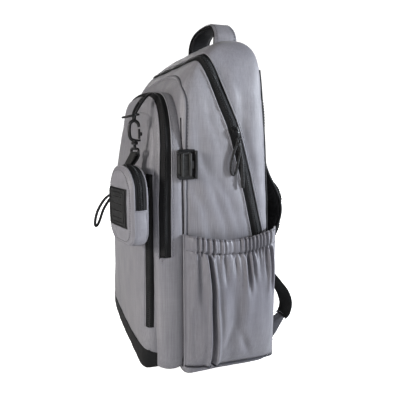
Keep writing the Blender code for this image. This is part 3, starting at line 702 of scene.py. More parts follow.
# ------------------------------------------------------------------ camera, floor and light
PHI, ELEV, DIST, FOCAL = math.radians(70.0), math.radians(9.03), 0.70, 441.05
TARGET = Vector((0.0525, S * 0.001, 0.2394))
back_dir = Vector((math.sin(PHI) * math.cos(ELEV), -math.cos(PHI) * math.cos(ELEV), math.sin(ELEV)))
cam_data = bpy.data.cameras.new("camera")
cam_data.sensor_width = cam_data.sensor_height = 36.0
cam_data.sensor_fit = "HORIZONTAL"
cam_data.lens = FOCAL / 400.0 * 36.0
cam_data.clip_start, cam_data.clip_end = 0.02, 50.0
cam = bpy.data.objects.new("camera", cam_data)
cam.location = TARGET + back_dir * DIST
cam.rotation_euler = (-back_dir).to_track_quat("-Z", "Y").to_euler()
SC.collection.objects.link(cam)
SC.camera = cam

k = Nodes("floor")
k.set(Specular_IOR_Level=0.05, Emission_Color=(1, 1, 1, 1))
k.link(k.math("MULTIPLY", k.n("ShaderNodeLightPath").outputs["Is Camera Ray"], 0.85), k.bsdf.inputs["Emission Strength"])
M_FLOOR = k.out(k.ramp(k.noise(3.0, 2.0), [(0.3, (0.93, 0.93, 0.93, 1)), (0.7, (0.95, 0.95, 0.95, 1))]), k.spread(k.noise(30.0, 2.0), 0.85, 0.95))
bm = bmesh.new()
bmesh.ops.create_grid(bm, x_segments=2, y_segments=2, size=6.0)
me = bpy.data.meshes.new("floor")
bm.to_mesh(me)
bm.free()
me.materials.append(M_FLOOR)
floor = bpy.data.objects.new("floor", me)
floor.location.z = -0.0008
SC.collection.objects.link(floor)

world = bpy.data.worlds.new("studio")
world.use_nodes = True
world.node_tree.nodes["Background"].inputs["Color"].default_value = (1.0, 1.0, 1.0, 1)
tree = world.node_tree
seen = tree.nodes.new("ShaderNodeLightPath")
level = tree.nodes.new("ShaderNodeMapRange")
level.inputs["To Min"].default_value, level.inputs["To Max"].default_value = 0.15, 1.02
tree.links.new(seen.outputs["Is Camera Ray"], level.inputs["Value"])
tree.links.new(level.outputs["Result"], tree.nodes["Background"].inputs["Strength"])
SC.world = world


def area(name, place, aim, size, power, colour=(1, 1, 1)):
    d = bpy.data.lights.new(name, "AREA")
    d.shape, d.size, d.energy, d.color = "DISK", size, power, colour
    o = bpy.data.objects.new(name, d)
    o.location = place
    o.rotation_euler = (Vector(aim) - Vector(place)).to_track_quat("-Z", "Y").to_euler()
    SC.collection.objects.link(o)


area("side_key", (0.95, 1.85, 0.75), (0, 0, 0.25), 0.4, 56, (0.88, 0.93, 1.0))
area("front_key", (0.55, -2.1, 0.85), (0, 0, 0.25), 0.5, 31, (1.0, 0.965, 0.92))
area("fill", (2.2, -0.8, 0.8), (0, 0, 0.25), 1.0, 13)
area("far_side", (-2.3, 0.5, 0.7), (0, 0, 0.22), 1.0, 18)
area("behind", (-1.1, 2.0, 0.8), (0, 0, 0.25), 1.0, 8)
SC.view_settings.view_transform = "Standard"
SC.view_settings.look = "Medium High Contrast"

# ------------------------------------------------------------------ main compartment
ZIP_C = soft_table([(-10, 64.5), (20, 64.5), (100, 63.5), (150, 60.5), (197, 54.5), (280, 34.6), (351, 15.2), (392, -2.0), (424, -14.5), (446, -25), (462, -35), (500, -52)], 4.0, 6)


def zip_c(z):
    return lerp(ZIP_C, z)


HX = [(0, 140), (6, 143.5), (14, 145), (260, 145), (320, 143.5), (352, 142.5), (384, 140.5), (414, 137), (434, 135), (448, 132), (458, 127.5), (466, 119), (472, 104), (476, 80), (478.8, 44), (480, 10)]
YB = [(0, 76), (6, 82.5), (16, 85.5), (110, 85.5), (160, 80), (200, 75), (260, 72), (320, 69), (391, 64.5), (440, 61), (462, 56), (473, 49), (479.5, 36)]
YF = [(0, -55), (6, -57), (399, -57), (415, -49.5), (430, -39), (444.5, -26), (457, -11), (467, 4), (475.5, 22), (479.5, 34)]


def main_form():
    g = Geo()
    rings = []
    zs = [0, 2.5, 6, 12, 20, 40, 80, 120, 160, 200, 240, 280, 320, 350, 372, 390, 404, 416, 428, 438, 446, 453, 459, 464, 468.5, 472, 475, 477.3, 479]
    for z in zs:
        hx, yf, yb = lerp(HX, z), lerp(YF, z), lerp(YB, z)
        room = min(hx, (yb - yf) / 2)
        rf, rb = min(7.0, room * 0.9), min(13.0, room * 0.9)
        rings.append([(x, y, z) for x, y in rounded(-hx, hx, yf, yb, [rf, rf, rb, rb], 6)])
    g.rings(rings)
    return g


def main_wrinkle(p, n):
    x, y, z = p
    side = ease(0.5, 0.9, abs(n.x))
    t = y - zip_c(z)
    d = 0.0
    # long soft drapes on the side walls, and a slack belly over the pockets
    d += side * 2.0 * nz(y / 30, z / 130, x / 60, 1)
    d += side * 1.2 * nz(y / 15, z / 55, x / 60, 2) * ease(190, 250, z)
    d += side * 2.6 * math.exp(-((y + 10) / 36) ** 2 - ((z - 290) / 100) ** 2)
    # creases that hang from the port and run down towards the zipper
    for y0, z0, y1, z1, depth, wide in ((-34, 330, 4, 205, 1.7, 5.0), (-20, 300, 26, 212, 1.4, 4.5), (-44, 270, -14, 200, 1.5, 4.5), (-30, 410, -6, 330, 1.3, 5.0), (20, 400, 44, 300, 1.2, 5.0)):
        ln = math.hypot(y1 - y0, z1 - z0)
        u = ((y - y0) * (y1 - y0) + (z - z0) * (z1 - z0)) / ln ** 2
        w = ((y - y0) * (z1 - z0) - (z - z0) * (y1 - y0)) / ln
        if -0.3 < u < 1.3:
            k = ease(-0.3, 0.25, u) * (1 - ease(0.75, 1.3, u))
            w += 3 * math.sin(u * 5 + y0)
            d += side * k * depth * (-math.exp(-(w / wide) ** 2) + 0.7 * math.exp(-((w - 1.9 * wide) / (1.3 * wide)) ** 2))
    # puckers along the zipper
    d += side * 0.8 * math.exp(-((abs(t) - 16) / 9) ** 2) * math.sin(z / 6.3 + 2.6 * nz(z / 30, 0, 0, 3)) * ease(200, 240, z)
    d -= side * 1.6 * math.exp(-((t + 12.5) / 5.0) ** 2) + side * 1.2 * math.exp(-((t - 12.5) / 5.0) ** 2)
    # the wall dips into the seam with the front compartment
    d -= side * 2.2 * math.exp(-((y + 56) / 4.0) ** 2) * ease(12, 30, z)
    # top and back
    d += (1 - side) * (1.2 * nz(x / 45, y / 30, z / 45, 4) + 0.5 * nz(x / 16, y / 16, z / 16, 5))
    return d


main_bm = soft_solid(main_form(), 4.2, 5, dict(pressure=3.0, cap=3.5, frames=10, tension=20.0,
                                               pin=lambda p: 1.0 if (p.z < 12 or p.y < -50 or abs(p.y - zip_c(p.z)) < 9) else 0.0), 0.8)
for v in main_bm.verts:
    if v.co.z < 1.6:
        v.co.z = 1.6
push(main_bm, main_wrinkle)
for v in main_bm.verts:
    if v.co.z < 1.6:
        v.co.z = 1.6
relax(main_bm, 1, 0.4)

ZH = 9.2       # half width of the visible zipper band, measured along y
parts = carve(main_bm, [((0, -ZH, 0), (0, 1, 0)), ((0, ZH, 0), (0, 1, 0)), ((0, 0, 13.0), (0, 0, 1))], zip_c,
              lambda c: None if (abs(c.y) < ZH and c.z > 13) else ("flap" if (c.y > ZH and c.z > 13) else "tub"))
for kind in parts:
    even_edges(parts[kind], 3)
tub = bm_obj(parts["tub"], "main_skin", M_GREY, "bag", 2.4, 0.0, M_LINING)
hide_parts("main_front_panel", "side_panel_right", "side_panel_left", "top_front_panel", "bottom_panel")
flap_skin = bm_obj(parts["flap"], "back_skin", M_GREY, "back_flap", 2.4, 0.0, M_LINING)
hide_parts("back_shell")
main_tree = BVHTree.FromBMesh(main_bm)


def cast(o, d):
    hit = main_tree.ray_cast(Vector(o), Vector(d).normalized())
    return (hit[0], hit[1]) if hit[0] is not None else (None, None)


def above(c):
    return c.z > 14


def zip_lines(offsets, count=330):
    out = {}
    for d in offsets:
        p, n = slice_path(main_bm, d, zip_c, above)
        out[d] = tidy_path(p, n, count=count, passes=5)
    return out


lines = zip_lines([-11.2, -9.2, -7.0, -4.4, -3.2, -1.2, 0.0, 1.2, 3.2, 4.4, 7.0, 9.2, 11.2])
LIFT = {-11.2: -1.6, -9.2: -0.5, -7.0: 0.3, -4.4: 0.6, -3.2: 1.7, -1.2: 2.1, 0.0: 1.3, 1.2: 2.1, 3.2: 1.7, 4.4: 0.6, 7.0: 0.3, 9.2: -0.5, 11.2: -1.6}
for name, keys, body, node in (("main_tape_front", [-11.2, -9.2, -7.0, -4.4, -3.2, -1.2, 0.0], "bag", "main_zip_tape_front"),
                               ("main_tape_rear", [0.0, 1.2, 3.2, 4.4, 7.0, 9.2, 11.2], "back_flap", "main_zip_tape_rear")):
    g = Geo()
    rows = []
    for d in keys:
        pts, ns = lines[d]
        rows.append([p + n * LIFT[d] for p, n in zip(pts, ns)])
    g.grid(rows)
    ob = g.obj(name, M_TAPE)
    m = ob.modifiers.new("s", "SOLIDIFY")
    m.thickness, m.offset = 0.0012, -1
    bake(ob)
    ob.data.shade_smooth()
    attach(ob, body)
    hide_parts(node)
# coil: turns that reach in from each side in turn
pts, ns = resample(*[lines[0.0][0]], step=1.55, extra=lines[0.0][1])
ts = tangents(pts)
coils = {"bag": Geo(), "back_flap": Geo()}
for i, (p, t, n) in enumerate(zip(pts, ts, ns)):
    side = -1 if i % 2 else 1
    w = n.cross(t).normalized()
    if (w.y > 0) != (side > 0):
        w = -w
    coils["back_flap" if side > 0 else "bag"].pill(p + n * 1.9 + w * 0.9, w, n, 3.6, 1.15, 0.75)
for body, g in coils.items():
    ob = g.obj("main_coil_" + body, M_TEETH, body)
# stitching beside the tape, on both folded edges
for body, offs in (("bag", (-12.2,)), ("back_flap", (12.2,))):
    g = Geo()
    for d in offs:
        p, n = slice_path(main_bm, d, zip_c, above)
        p, n = tidy_path(p, n, step=4.0)
        g.stitches(p, n, lift=1.25)
    ob = g.obj("main_zip_stitch_" + body, M_THREAD, body)
# folded edges that stand a little proud of the tape
for body, d in (("bag", -9.6), ("back_flap", 9.6)):
    p, n = slice_path(main_bm, d, zip_c, above)
    p, n = tidy_path(p, n, step=4.0)
    g = Geo()
    g.tube([q + m * 0.75 for q, m in zip(p, n)], 1.25, 8)
    ob = g.obj("main_zip_fold_" + body, M_GREY, body)


# front seam: a welt along the edge of the front panel, up one side, over the top and down the other
def front_seam():
    pts, ns = [], []
    zs = [16 + 6.0 * i for i in range(60)]
    for z in [z for z in zs if z < 372]:
        p, n = cast((345, -257, z), (-1, 1, 0))
        if p:
            pts.append(p)
            ns.append(n)
    for i in range(1, 40):
        a = math.radians(8 + (172 - 8) * i / 40)
        x, z = 136 * math.cos(a), 372 + 58 * math.sin(a)
        p, n = cast((x * 1.6, -300, z + 190), (-x * 0.6, 270, -200))
        if p:
            pts.append(p)
            ns.append(n)
    half = [(p, n) for p, n in zip(pts, ns)]
    right = [(p, n) for p, n in half if p.x > 2]
    left = [(Vector((-p.x, p.y, p.z)), Vector((-n.x, n.y, n.z))) for p, n in reversed(right)]
    both = right + left
    return tidy_path([p for p, n in both], [n for p, n in both], step=4.0, passes=6)


seam_p, seam_n = front_seam()
g = Geo()
g.tube([p + n * 1.1 for p, n in zip(seam_p, seam_n)], 2.1, 8)
ob = g.obj("front_welt", M_GREY, "bag")
# dark grey tube in the seam behind the welt: painted shade standing in for the dark crease of the seam
g = Geo()
ts = tangents(seam_p)
g.tube([main_tree.find_nearest(p + n.cross(t).normalized() * -2.4)[0] + n * 0.9 for p, n, t in zip(seam_p, seam_n, ts)], 1.15, 8)
ob = g.obj("front_piping", M_WING, "bag")
g = Geo()
ts = tangents(seam_p)
side_line = [p + (n.cross(t)).normalized() * (-3.6 if i < len(seam_p) else 3.6) for i, (p, n, t) in enumerate(zip(seam_p, seam_n, ts))]
snap = []
for q, n in zip(side_line, seam_n):
    hit = main_tree.find_nearest(q)
    snap.append((hit[0], hit[1]))
sp, sn = tidy_path([p for p, n in snap], [n for p, n in snap], step=4.0)
g.stitches(sp, sn, lift=1.25)
ob = g.obj("front_seam_stitch", M_THREAD_D, "bag")

# dark piping along both rear edges of the back panel
g = Geo()
for side in (1, -1):
    way = []
    for i in range(80):
        z = 22 + 410 * i / 79
        p, n = cast((side * (lerp(HX, z) - 7.5), 300, z), (0, -1, 0))
        if p and p.y > 40:
            way.append(p + n * 0.7)
    g.tube(calm(resample(way, step=5.0), 4), 2.3, 8)
ob = g.obj("back_piping", M_TRIM, "back_flap")

# top yoke seam in front of the handle, and its double stitching
for off, mat in ((0.0, M_THREAD), (5.0, M_THREAD)):
    pts, ns = [], []
    for i in range(61):
        x = -112 + 224 * i / 60
        y = 14 - off - 0.0013 * x * x
        p, n = cast((x, y, 600), (0, 0, -1))
        if p:
            pts.append(p)
            ns.append(n)
    p, n = tidy_path(pts, ns, step=4.0)
    g = Geo()
    g.stitches(p, n, lift=1.25)
    if not off:
        g.tube([q + m * 0.6 for q, m in zip(p, n)], 1.1, 6)
    ob = g.obj("yoke_seam_%d" % off, M_THREAD if off else M_GREY, "back_flap")

# base band seam round the foot of the bag
g = Geo()
p, n = [], []
for i in range(120):
    a = 2 * math.pi * i / 120
    h = cast((400 * math.cos(a), 14 + 400 * math.sin(a), 14.0), (-math.cos(a), -math.sin(a), 0))
    if h[0]:
        p.append(h[0])
        n.append(h[1])
p, n = calm(p, 3, True), n
g.tube([q + m * 0.9 for q, m in zip(p, n)], 1.3, 6, loop=True)
ob = g.obj("base_welt", M_GREY, "bag")

# ------------------------------------------------------------------ mid compartment
MID = [(116, 5.6), (131.5, 8.6), (138, 19.5), (139, 60), (139, 250), (138, 320), (129, 357), (114, 381), (94, 395), (60, 400), (20, 402)]


def closed_outline(half, count=170):
    pts = [Vector((x, z, 0)) for x, z in half] + [Vector((-x, z, 0)) for x, z in reversed(half)]
    p = resample(pts, count=count, loop=True)
    return [(q.x, q.y) for q in calm(p, 4, True)]


def inset(outline, d):
    n = len(outline)
    out = []
    for i in range(n):
        a, b = Vector(outline[i - 1]), Vector(outline[(i + 1) % n])
        t = (b - a).normalized()
        out.append((outline[i][0] - t.y * d, outline[i][1] + t.x * d))
    return out


def lean(z):
    return 9.0 * max(0.0, z - 250) / 160.0


def leaned(p):
    k = min(1.3, max(0.0, (-57.0 - p.y) / 35.0))
    return Vector((p.x, p.y + lean(p.z) * k, p.z))


mid_o = closed_outline(MID)
g = Geo()
g.rings([[(x, y, z) for x, z in inset(mid_o, d)] for y, d in ((-50, 0), (-56, 0.5), (-59, -2.6), (-64, -4.4), (-71, -4.2), (-79, -2.4), (-86, 0.4), (-90, 3.0), (-92.2, 7), (-93, 14), (-93.5, 40))])
mid_bm = soft_solid(g, 4.0, 5, None, 0.6)


def mid_wrinkle(p, n):
    side = ease(0.5, 0.9, max(abs(n.x), abs(n.z)))
    return side * (0.8 * nz(p.y / 18, p.z / 50, p.x / 50, 7)) + (1 - side) * 0.8 * nz(p.x / 40, p.z / 40, 0, 8)


push(mid_bm, mid_wrinkle)
MZ0, MZ1 = -89.4, -74.0
parts = carve(mid_bm, [((0, MZ0, 0), (0, 1, 0)), ((0, MZ1, 0), (0, 1, 0)), ((0, 0, 177), (0, 0, 1)), ((0, -56.8, 0), (0, 1, 0))], None,
              lambda c: "front" if c.y < MZ0 else (None if ((c.y < MZ1 and c.z > 177) or c.y > -56.8) else "gusset"))
mid_lines = {}
for d in (-91.0, -89.4, -87.2, -84.9, -83.8, -82.3, -81.7, -81.1, -79.6, -78.5, -76.2, -74.0, -72.4):
    p, n = slice_path(mid_bm, d, None, lambda c: c.z > 174)
    mid_lines[d] = tidy_path(p, n, count=240, passes=4)


# black tube in the crease where the two compartments meet, up both sides: painted shade standing in for the crease's
# shadow
mid_tree = BVHTree.FromBMesh(mid_bm)
g = Geo()
for side in (1, -1):
    way = []
    for i in range(78):
        z = 13 + 352 * i / 77
        a = main_tree.ray_cast(Vector((side * 300, -56.6, z)), Vector((-side, 0, 0)))[0]
        b = mid_tree.ray_cast(Vector((side * 300, -57.6, z)), Vector((-side, 0, 0)))[0]
        xs = [abs(p.x) for p in (a, b) if p is not None]
        if xs:
            way.append(Vector((side * (max(xs) + 0.25), -57.2, z)))
    g.tube(calm(resample(way, step=5.0), 4), 1.35, 8)
ob = g.obj("side_seam_piping", M_TRIM, "bag")


def lean_obj(g, *args, **kw):
    g.v = [tuple(leaned(Vector(p))) for p in g.v]
    return g.obj(*args, **kw)


for kind, name, nodes in (("front", "mid_front", ("mid_front_panel",)), ("gusset", "mid_gusset_skin", ("mid_gusset",))):
    b = parts[kind]
    even_edges(b, 2)
    for v in b.verts:
        v.co = leaned(v.co)
    ob = bm_obj(b, name, M_GREY, "bag", 2.0, 0.0, M_LINING)
    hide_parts(*nodes)
MLIFT = [-1.5, -0.5, 0.3, 0.5, 1.3, 1.7, 1.1, 1.7, 1.3, 0.5, 0.3, -0.5, -1.5]
keys = sorted(mid_lines)
for name, sel, node in (("mid_tape_front", range(0, 7), "mid_zip_tape_front"), ("mid_tape_rear", range(6, 13), "mid_zip_tape_rear")):
    g = Geo()
    g.grid([[p + n * MLIFT[i] for p, n in zip(*mid_lines[keys[i]])] for i in sel])
    ob = lean_obj(g, name, M_TAPE)
    m = ob.modifiers.new("s", "SOLIDIFY")
    m.thickness, m.offset = 0.0012, -1
    bake(ob)
    ob.data.shade_smooth()
    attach(ob, "bag")
    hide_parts(node)
pts, ns = resample(mid_lines[-81.7][0], step=1.55, extra=mid_lines[-81.7][1])
ts = tangents(pts)
g = Geo()
for i, (p, t, n) in enumerate(zip(pts, ts, ns)):
    w = Vector((0, 1 if i % 2 else -1, 0))
    g.pill(p + n * 1.5 + w * 0.8, w, n, 3.2, 1.1, 0.7)
ob = lean_obj(g, "mid_coil", M_TEETH, "bag")
g = Geo()
for d in (-71.2, -91.6):
    p, n = slice_path(mid_bm, d, None, lambda c: c.z > 174)
    p, n = tidy_path(p, n, step=4.0)
    g.stitches(p, n, lift=1.05)
# the short edge where the zipper ends, with two rows of stitching across the gusset
for side in (1, -1):
    for z, yy in ((172.5, (-87, -60)), (168.5, (-87, -60))):
        path, nn = [], []
        for i in range(9):
            y = yy[0] + (yy[1] - yy[0]) * i / 8
            path.append(Vector((side * (139.9 + 0.6), y, z)))
            nn.append(Vector((side, 0, 0)))
        g.stitches(path, nn, lift=0.35)
ob = lean_obj(g, "mid_stitch", M_THREAD, "bag")
g = Geo()
for d in (-73.6, -89.8):
    p, n = slice_path(mid_bm, d, None, lambda c: c.z > 174)
    p, n = tidy_path(p, n, step=4.0)
    g.tube([q + m * 0.7 for q, m in zip(p, n)], 1.15, 8)
for side in (1, -1):
    g.tube([(side * 140.4, y, 176.4) for y in (-89, -85, -81, -77, -74)], 1.3, 8)
ob = lean_obj(g, "mid_folds", M_GREY, "bag")

# ------------------------------------------------------------------ front pocket with its boot patch and side zipper
POCKET = [(110, 3.5), (122, 8), (129, 20), (130.5, 42), (128, 70), (124.4, 120), (123.2, 170), (123.8, 285), (119.5, 330), (106, 358), (86, 372), (40, 377)]
POCKET_T = soft_table([(4, 19), (14, 19.8), (40, 20), (70, 20.6), (110, 21.4), (150, 21.2), (195, 20), (230, 19.5), (300, 12), (345, 6), (377, 4)], 6, 4)
pk_o = closed_outline(POCKET, 150)


def pocket_ring(s, h, back=0.0):
    out = []
    for x, z in pk_o:
        px, pz = x * s, 195 + (z - 195) * s
        crown = 1.12 - (0.14 + 0.28 * ease(20, 90, pz)) * (px / 125.0) ** 2
        # fuller along the foot, where the boot holds its shape
        k = h ** (0.45 + 0.55 * ease(18, 75, pz)) if h else 0.0
        out.append((px, -92.3 + back - lerp(POCKET_T, pz) * k * crown + lean(pz), pz))
    return out


g = Geo()
g.rings([pocket_ring(1.0, 0, 9), pocket_ring(1.0, 0.0), pocket_ring(1.0, 0.3), pocket_ring(0.992, 0.55), pocket_ring(0.97, 0.78), pocket_ring(0.93, 0.91),
         pocket_ring(0.85, 0.98), pocket_ring(0.62, 1.0), pocket_ring(0.3, 1.0)])
pk_bm = soft_solid(g, 3.6, 4, dict(pressure=2.2, cap=2.0, frames=8, tension=20.0, pin=lambda p: 1.0 if p.y - lean(p.z) > -97 else 0.0), 0.5)


def pocket_wrinkle(p, n):
    f = ease(0.3, 0.8, -n.y)
    return f * (1.1 * nz(p.x / 40, p.z / 70, 0, 11) + 0.5 * nz(p.x / 14, p.z / 22, 0, 12)) + (1 - f) * 0.5 * nz(p.y / 12, p.z / 20, p.x / 20, 13)


push(pk_bm, pocket_wrinkle)
FZ0, FZ1 = 74.0, 290.0


boot_n = Vector((0, -0.4, -1.0)).normalized()
boot_c = Vector((0, -92.3, 35.5))
parts = carve(pk_bm, [(boot_c, boot_n), ((0, 0, FZ0), (0, 0, 1)), ((0, 0, FZ1), (0, 0, 1))], None,
              lambda c: "boot" if (c - boot_c).dot(boot_n) > 0 else "cloth")
for kind, name, mat, node in (("boot", "boot_patch", M_TRIM, "front_boot_patch"), ("cloth", "front_pocket_skin", M_GREY, "front_pocket")):
    b = parts[kind]
    even_edges(b, 2)
    if kind == "boot":
        push(b, lambda p, n: 0.5)
    ob = bm_obj(b, name, mat, "bag", 2.0, 0.0, M_LINING)
    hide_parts(node)
pk_tree = BVHTree.FromBMesh(pk_bm)


def pk_cast(o, d):
    hit = pk_tree.ray_cast(Vector(o), Vector(d).normalized())
    return hit[0], hit[1]


# boot patch edge: a turned welt with a stitch row
p, n = [], []
for i in range(70):
    x = 132.4 - 264.8 * i / 69
    best = None
    # closes in on the height where the front meets the boot plane
    lo, hi = 30.0, 55.0
    for _ in range(22):
        z = (lo + hi) / 2
        h = pk_cast((x, -300, z), (0, 1, 0))
        if h[0] is None:
            break
        if (h[0] - boot_c).dot(boot_n) > 0:
            lo = z
        else:
            hi = z
        best = h
    if best and abs((best[0] - boot_c).dot(boot_n)) < 1.0 and best[1].y < -0.25:
        p.append(best[0])
        n.append(best[1])
p, n = tidy_path(p, n, step=4.0)
g = Geo()
g.tube([q + m * 0.9 for q, m in zip(p, n)], 1.2, 8)
ob = g.obj("boot_welt", M_TRIM, "bag")
g = Geo()
g.stitches([q + Vector((0, 0, 3.2)) for q in p], n, lift=1.2)
ob = g.obj("boot_stitch", M_THREAD, "bag")

# side zipper of the front pocket
rows = []
FLAT = [(-7.5, -0.6), (-6.2, 0.6), (-4.2, 0.9), (-3.0, 1.7), (-1.2, 2.0), (0, 1.3), (1.2, 2.0), (3.0, 1.7), (4.2, 0.9), (6.2, 0.6), (7.5, -0.6)]
zs = [FZ0 + (FZ1 - FZ0) * i / 60 for i in range(61)]
mids, mnorm = [], []
for z in zs:
    h = pk_cast((125 + 200 * 0.8, -102 - 200 * 0.6, z), (-0.8, 0.6, 0))
    if h[0] is None:
        h = (Vector((121, -100, z)), Vector((0.8, -0.6, 0)))
    mids.append(h[0])
    mnorm.append(h[1])
mids, mnorm = tidy_path(mids, mnorm, count=61, passes=8)
acrosses = [Vector((0, 0, 1)).cross(n).normalized() for n in mnorm]
for a, lift in FLAT:
    row = []
    for p, n, w in zip(mids, mnorm, acrosses):
        q = p + w * a
        near = pk_tree.find_nearest(q)
        row.append(near[0] + near[1] * (lift + 0.5))
    rows.append(calm(row, 6))
g = Geo()
g.grid(rows)
ob = g.obj("front_tape", M_TAPE)
m = ob.modifiers.new("s", "SOLIDIFY")
m.thickness, m.offset = 0.0014, -1
bake(ob)
ob.data.shade_smooth()
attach(ob, "bag")
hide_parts("front_zip_tape")
g = Geo()
pts = resample(rows[5], step=1.55)
for i, p in enumerate(pts):
    near = pk_tree.find_nearest(p)
    n = near[1]
    w = Vector((0, 0, 1)).cross(n).normalized() * (1 if i % 2 else -1)
    g.pill(p + n * 0.25 + w * 0.7, w, n, 3.0, 1.1, 0.7)
ob = g.obj("front_coil", M_TEETH, "bag")
g = Geo()
for r in (rows[0], rows[-1]):
    side = -1 if r is rows[0] else 1
    line, nn = [], []
    for p, w in zip(r, acrosses):
        near = pk_tree.find_nearest(p + w * (1.8 * side))
        line.append(near[0])
        nn.append(near[1])
    line = calm(line, 4)
    g.tube([p + n * 1.0 for p, n in zip(line, nn)], 1.1, 6)
ob = g.obj("front_zip_folds", M_GREY, "bag")

# ------------------------------------------------------------------ gathered side pockets with an elastic hem
POCKET_B = soft_table([(8, 6), (16, 11), (30, 20), (60, 26), (95, 28), (140, 27), (165, 23), (186, 18), (212, 16)], 4, 3)
TOP_Z = 210.0


def side_pocket(side, name):
    nu, nv, seed = 210, 124, 21 if side > 0 else 37
    # gathers along the hem: place, strength and width, bunched in places and slack in others
    gathers = [(0.115, 1.3, 0.011), (0.150, 1.5, 0.010), (0.205, 1.1, 0.012), (0.258, 1.9, 0.011), (0.330, 0.9, 0.012), (0.378, 0.7, 0.010), (0.470, 0.5, 0.014), (0.545, 1.0, 0.012),
               (0.602, 1.5, 0.010), (0.638, 1.3, 0.009), (0.680, 1.6, 0.010), (0.722, 1.4, 0.010), (0.765, 1.3, 0.009), (0.800, 1.2, 0.010), (0.842, 1.5, 0.010), (0.893, 1.0, 0.012), (0.04, 0.6, 0.013)]
    # hanging folds: place at the hem, place at the bottom, depth, width, where they fade out
    folds = [(0.222, 0.272, 10.0, 0.020, 2.0), (0.130, 0.170, 3.0, 0.026, 0.30), (0.632, 0.640, 6.5, 0.019, 0.16), (0.690, 0.700, 4.0, 0.018, 0.10), (0.905, 0.955, 6.5, 0.024, 0.26),
             (0.385, 0.360, 2.4, 0.028, 0.10), (0.500, 0.490, 2.0, 0.022, 0.05), (0.840, 0.870, 2.6, 0.022, 0.12)]
    if side < 0:
        gathers = [(0.97 - a, k, w) for a, k, w in gathers]
        folds = [(0.93 - a, 0.91 - b, d * 0.9, w, r) for a, b, d, w, r in folds]

    def dip(u):
        return 9.0 * math.sin(math.pi * min(1.0, max(0.0, u))) ** 1.4 + (1.0 - u) * 1.0

    def point(u, v):
        # v runs from the bottom seam (0) to the top edge (1)
        z_low = 18.0 - 7.0 * u
        top = TOP_Z - dip(u)
        hem_z = top - 21.0
        z = z_low + (top - z_low) * v
        edge = min(u, 1 - u)
        b = lerp(POCKET_B, max(9.0, z + dip(u) * ease(100, 180, z)))
        full = (1 - abs(2 * u - 1) ** 4.5) ** 0.62
        y = -57.0 + 139.5 * u
        x = b * full
        body = ease(0.0, 0.07, edge)
        down = min(1.0, max(0.0, (hem_z - z) / (hem_z - z_low)))       # 0 at the hem, 1 at the bottom seam
        hem = ease(hem_z - 6, hem_z - 1, z)
        lift = ease(0.0, 0.07, v)
        # broad slack, with a drop-shaped bulge under the gathers and a hollow beside it
        x += body * (1 - hem) * lift * (2.2 * nz(u * 4.2, z / 95, 0.3, seed + 4) + 0.9 * nz(u * 9, z / 45, 0.6, seed + 5))
        x += body * lift * 4.0 * math.exp(-((u - 0.585 - 0.05 * down) / 0.075) ** 2 - ((down - 0.36) / 0.2) ** 2)
        x -= body * lift * 3.0 * math.exp(-((u - 0.47) / 0.06) ** 2 - ((down - 0.55) / 0.3) ** 2)
        x += body * lift * 3.2 * math.exp(-((u - 0.36) / 0.05) ** 2 - ((down - 0.6) / 0.5) ** 2)
        x -= body * lift * 2.6 * math.exp(-((u - 0.60 - 0.5 * (down - 0.8)) / 0.045) ** 2 - ((down - 0.8) / 0.13) ** 2)
        x -= body * lift * 2.4 * math.exp(-((u - 0.40 + 0.35 * (down - 0.75)) / 0.04) ** 2 - ((down - 0.75) / 0.14) ** 2)
        x -= body * lift * 3.0 * math.exp(-((u - 0.09) / 0.045) ** 2 - ((down - 0.7) / 0.35) ** 2)
        # hanging folds
        for u0, u1, depth, wide, reach in folds:
            uc = u0 + (u1 - u0) * down ** 0.8 + 0.005 * nz(z / 40, u0 * 9, 0, seed + 6)
            if abs(u - uc) > 0.2:
                continue
            live = (1.0 - ease(reach, reach + 0.24, down)) if reach < 1.5 else 1.0 - 0.3 * ease(0.5, 0.9, down) * (1 - ease(0.88, 1.0, down))
            wd = wide * (0.7 + (1.3 if reach < 1.5 else 0.35) * down)
            t = (u - uc) / wd
            x += body * ease(0.0, 0.05, down) * live * depth * (-math.exp(-t * t) + 0.5 * math.exp(-((t - 2.0) / 1.2) ** 2) + 0.5 * math.exp(-((t + 2.0) / 1.2) ** 2))
        # gathers at the hem
        q, roll = 0.0, (z - hem_z) / 21.0
        for pu, k, wd in gathers:
            t = (u - pu - 0.006 * nz(z / 14, pu * 20, 0, seed + 7)) / wd
            if abs(t) < 5:
                q += k * (-math.exp(-t * t) + 0.5 * math.exp(-((abs(t) - 1.9) / 1.0) ** 2))
        amount = 2.0 * math.exp(-(hem_z - z) / 9.0) if z < hem_z else 2.0 * (1 - 0.3 * roll)
        x += body * q * amount
        # the casing stands out as a roll between its two seams, and its top edge ripples
        if roll > 0:
            x += 3.2 * max(0.0, 1 - (2 * roll - 1) ** 2) ** 0.5 * ease(0, 0.05, edge)
            z += roll * body * (0.9 * q + 1.1 * nz(u * 17, 1.7, 0.0, seed + 8))
        # the seam line below the casing pulls in
        x -= 1.8 * math.exp(-((z - hem_z) / 2.0) ** 2) * body
        x -= 1.2 * math.exp(-(v / 0.02) ** 2) * body
        return Vector((side * (145.2 + max(-0.4, x)), y, z))

    vs = [i / nv for i in range(nv + 1)]
    rows = [[point(i / nu, v) for i in range(nu + 1)] for v in vs]
    g = Geo()
    g.grid(rows)
    ob = g.obj(name, M_GREY_SOFT)
    b = bmesh.new()
    b.from_mesh(ob.data)
    bmesh.ops.smooth_vert(b, verts=b.verts, factor=0.25, use_axis_x=True, use_axis_y=True, use_axis_z=True)
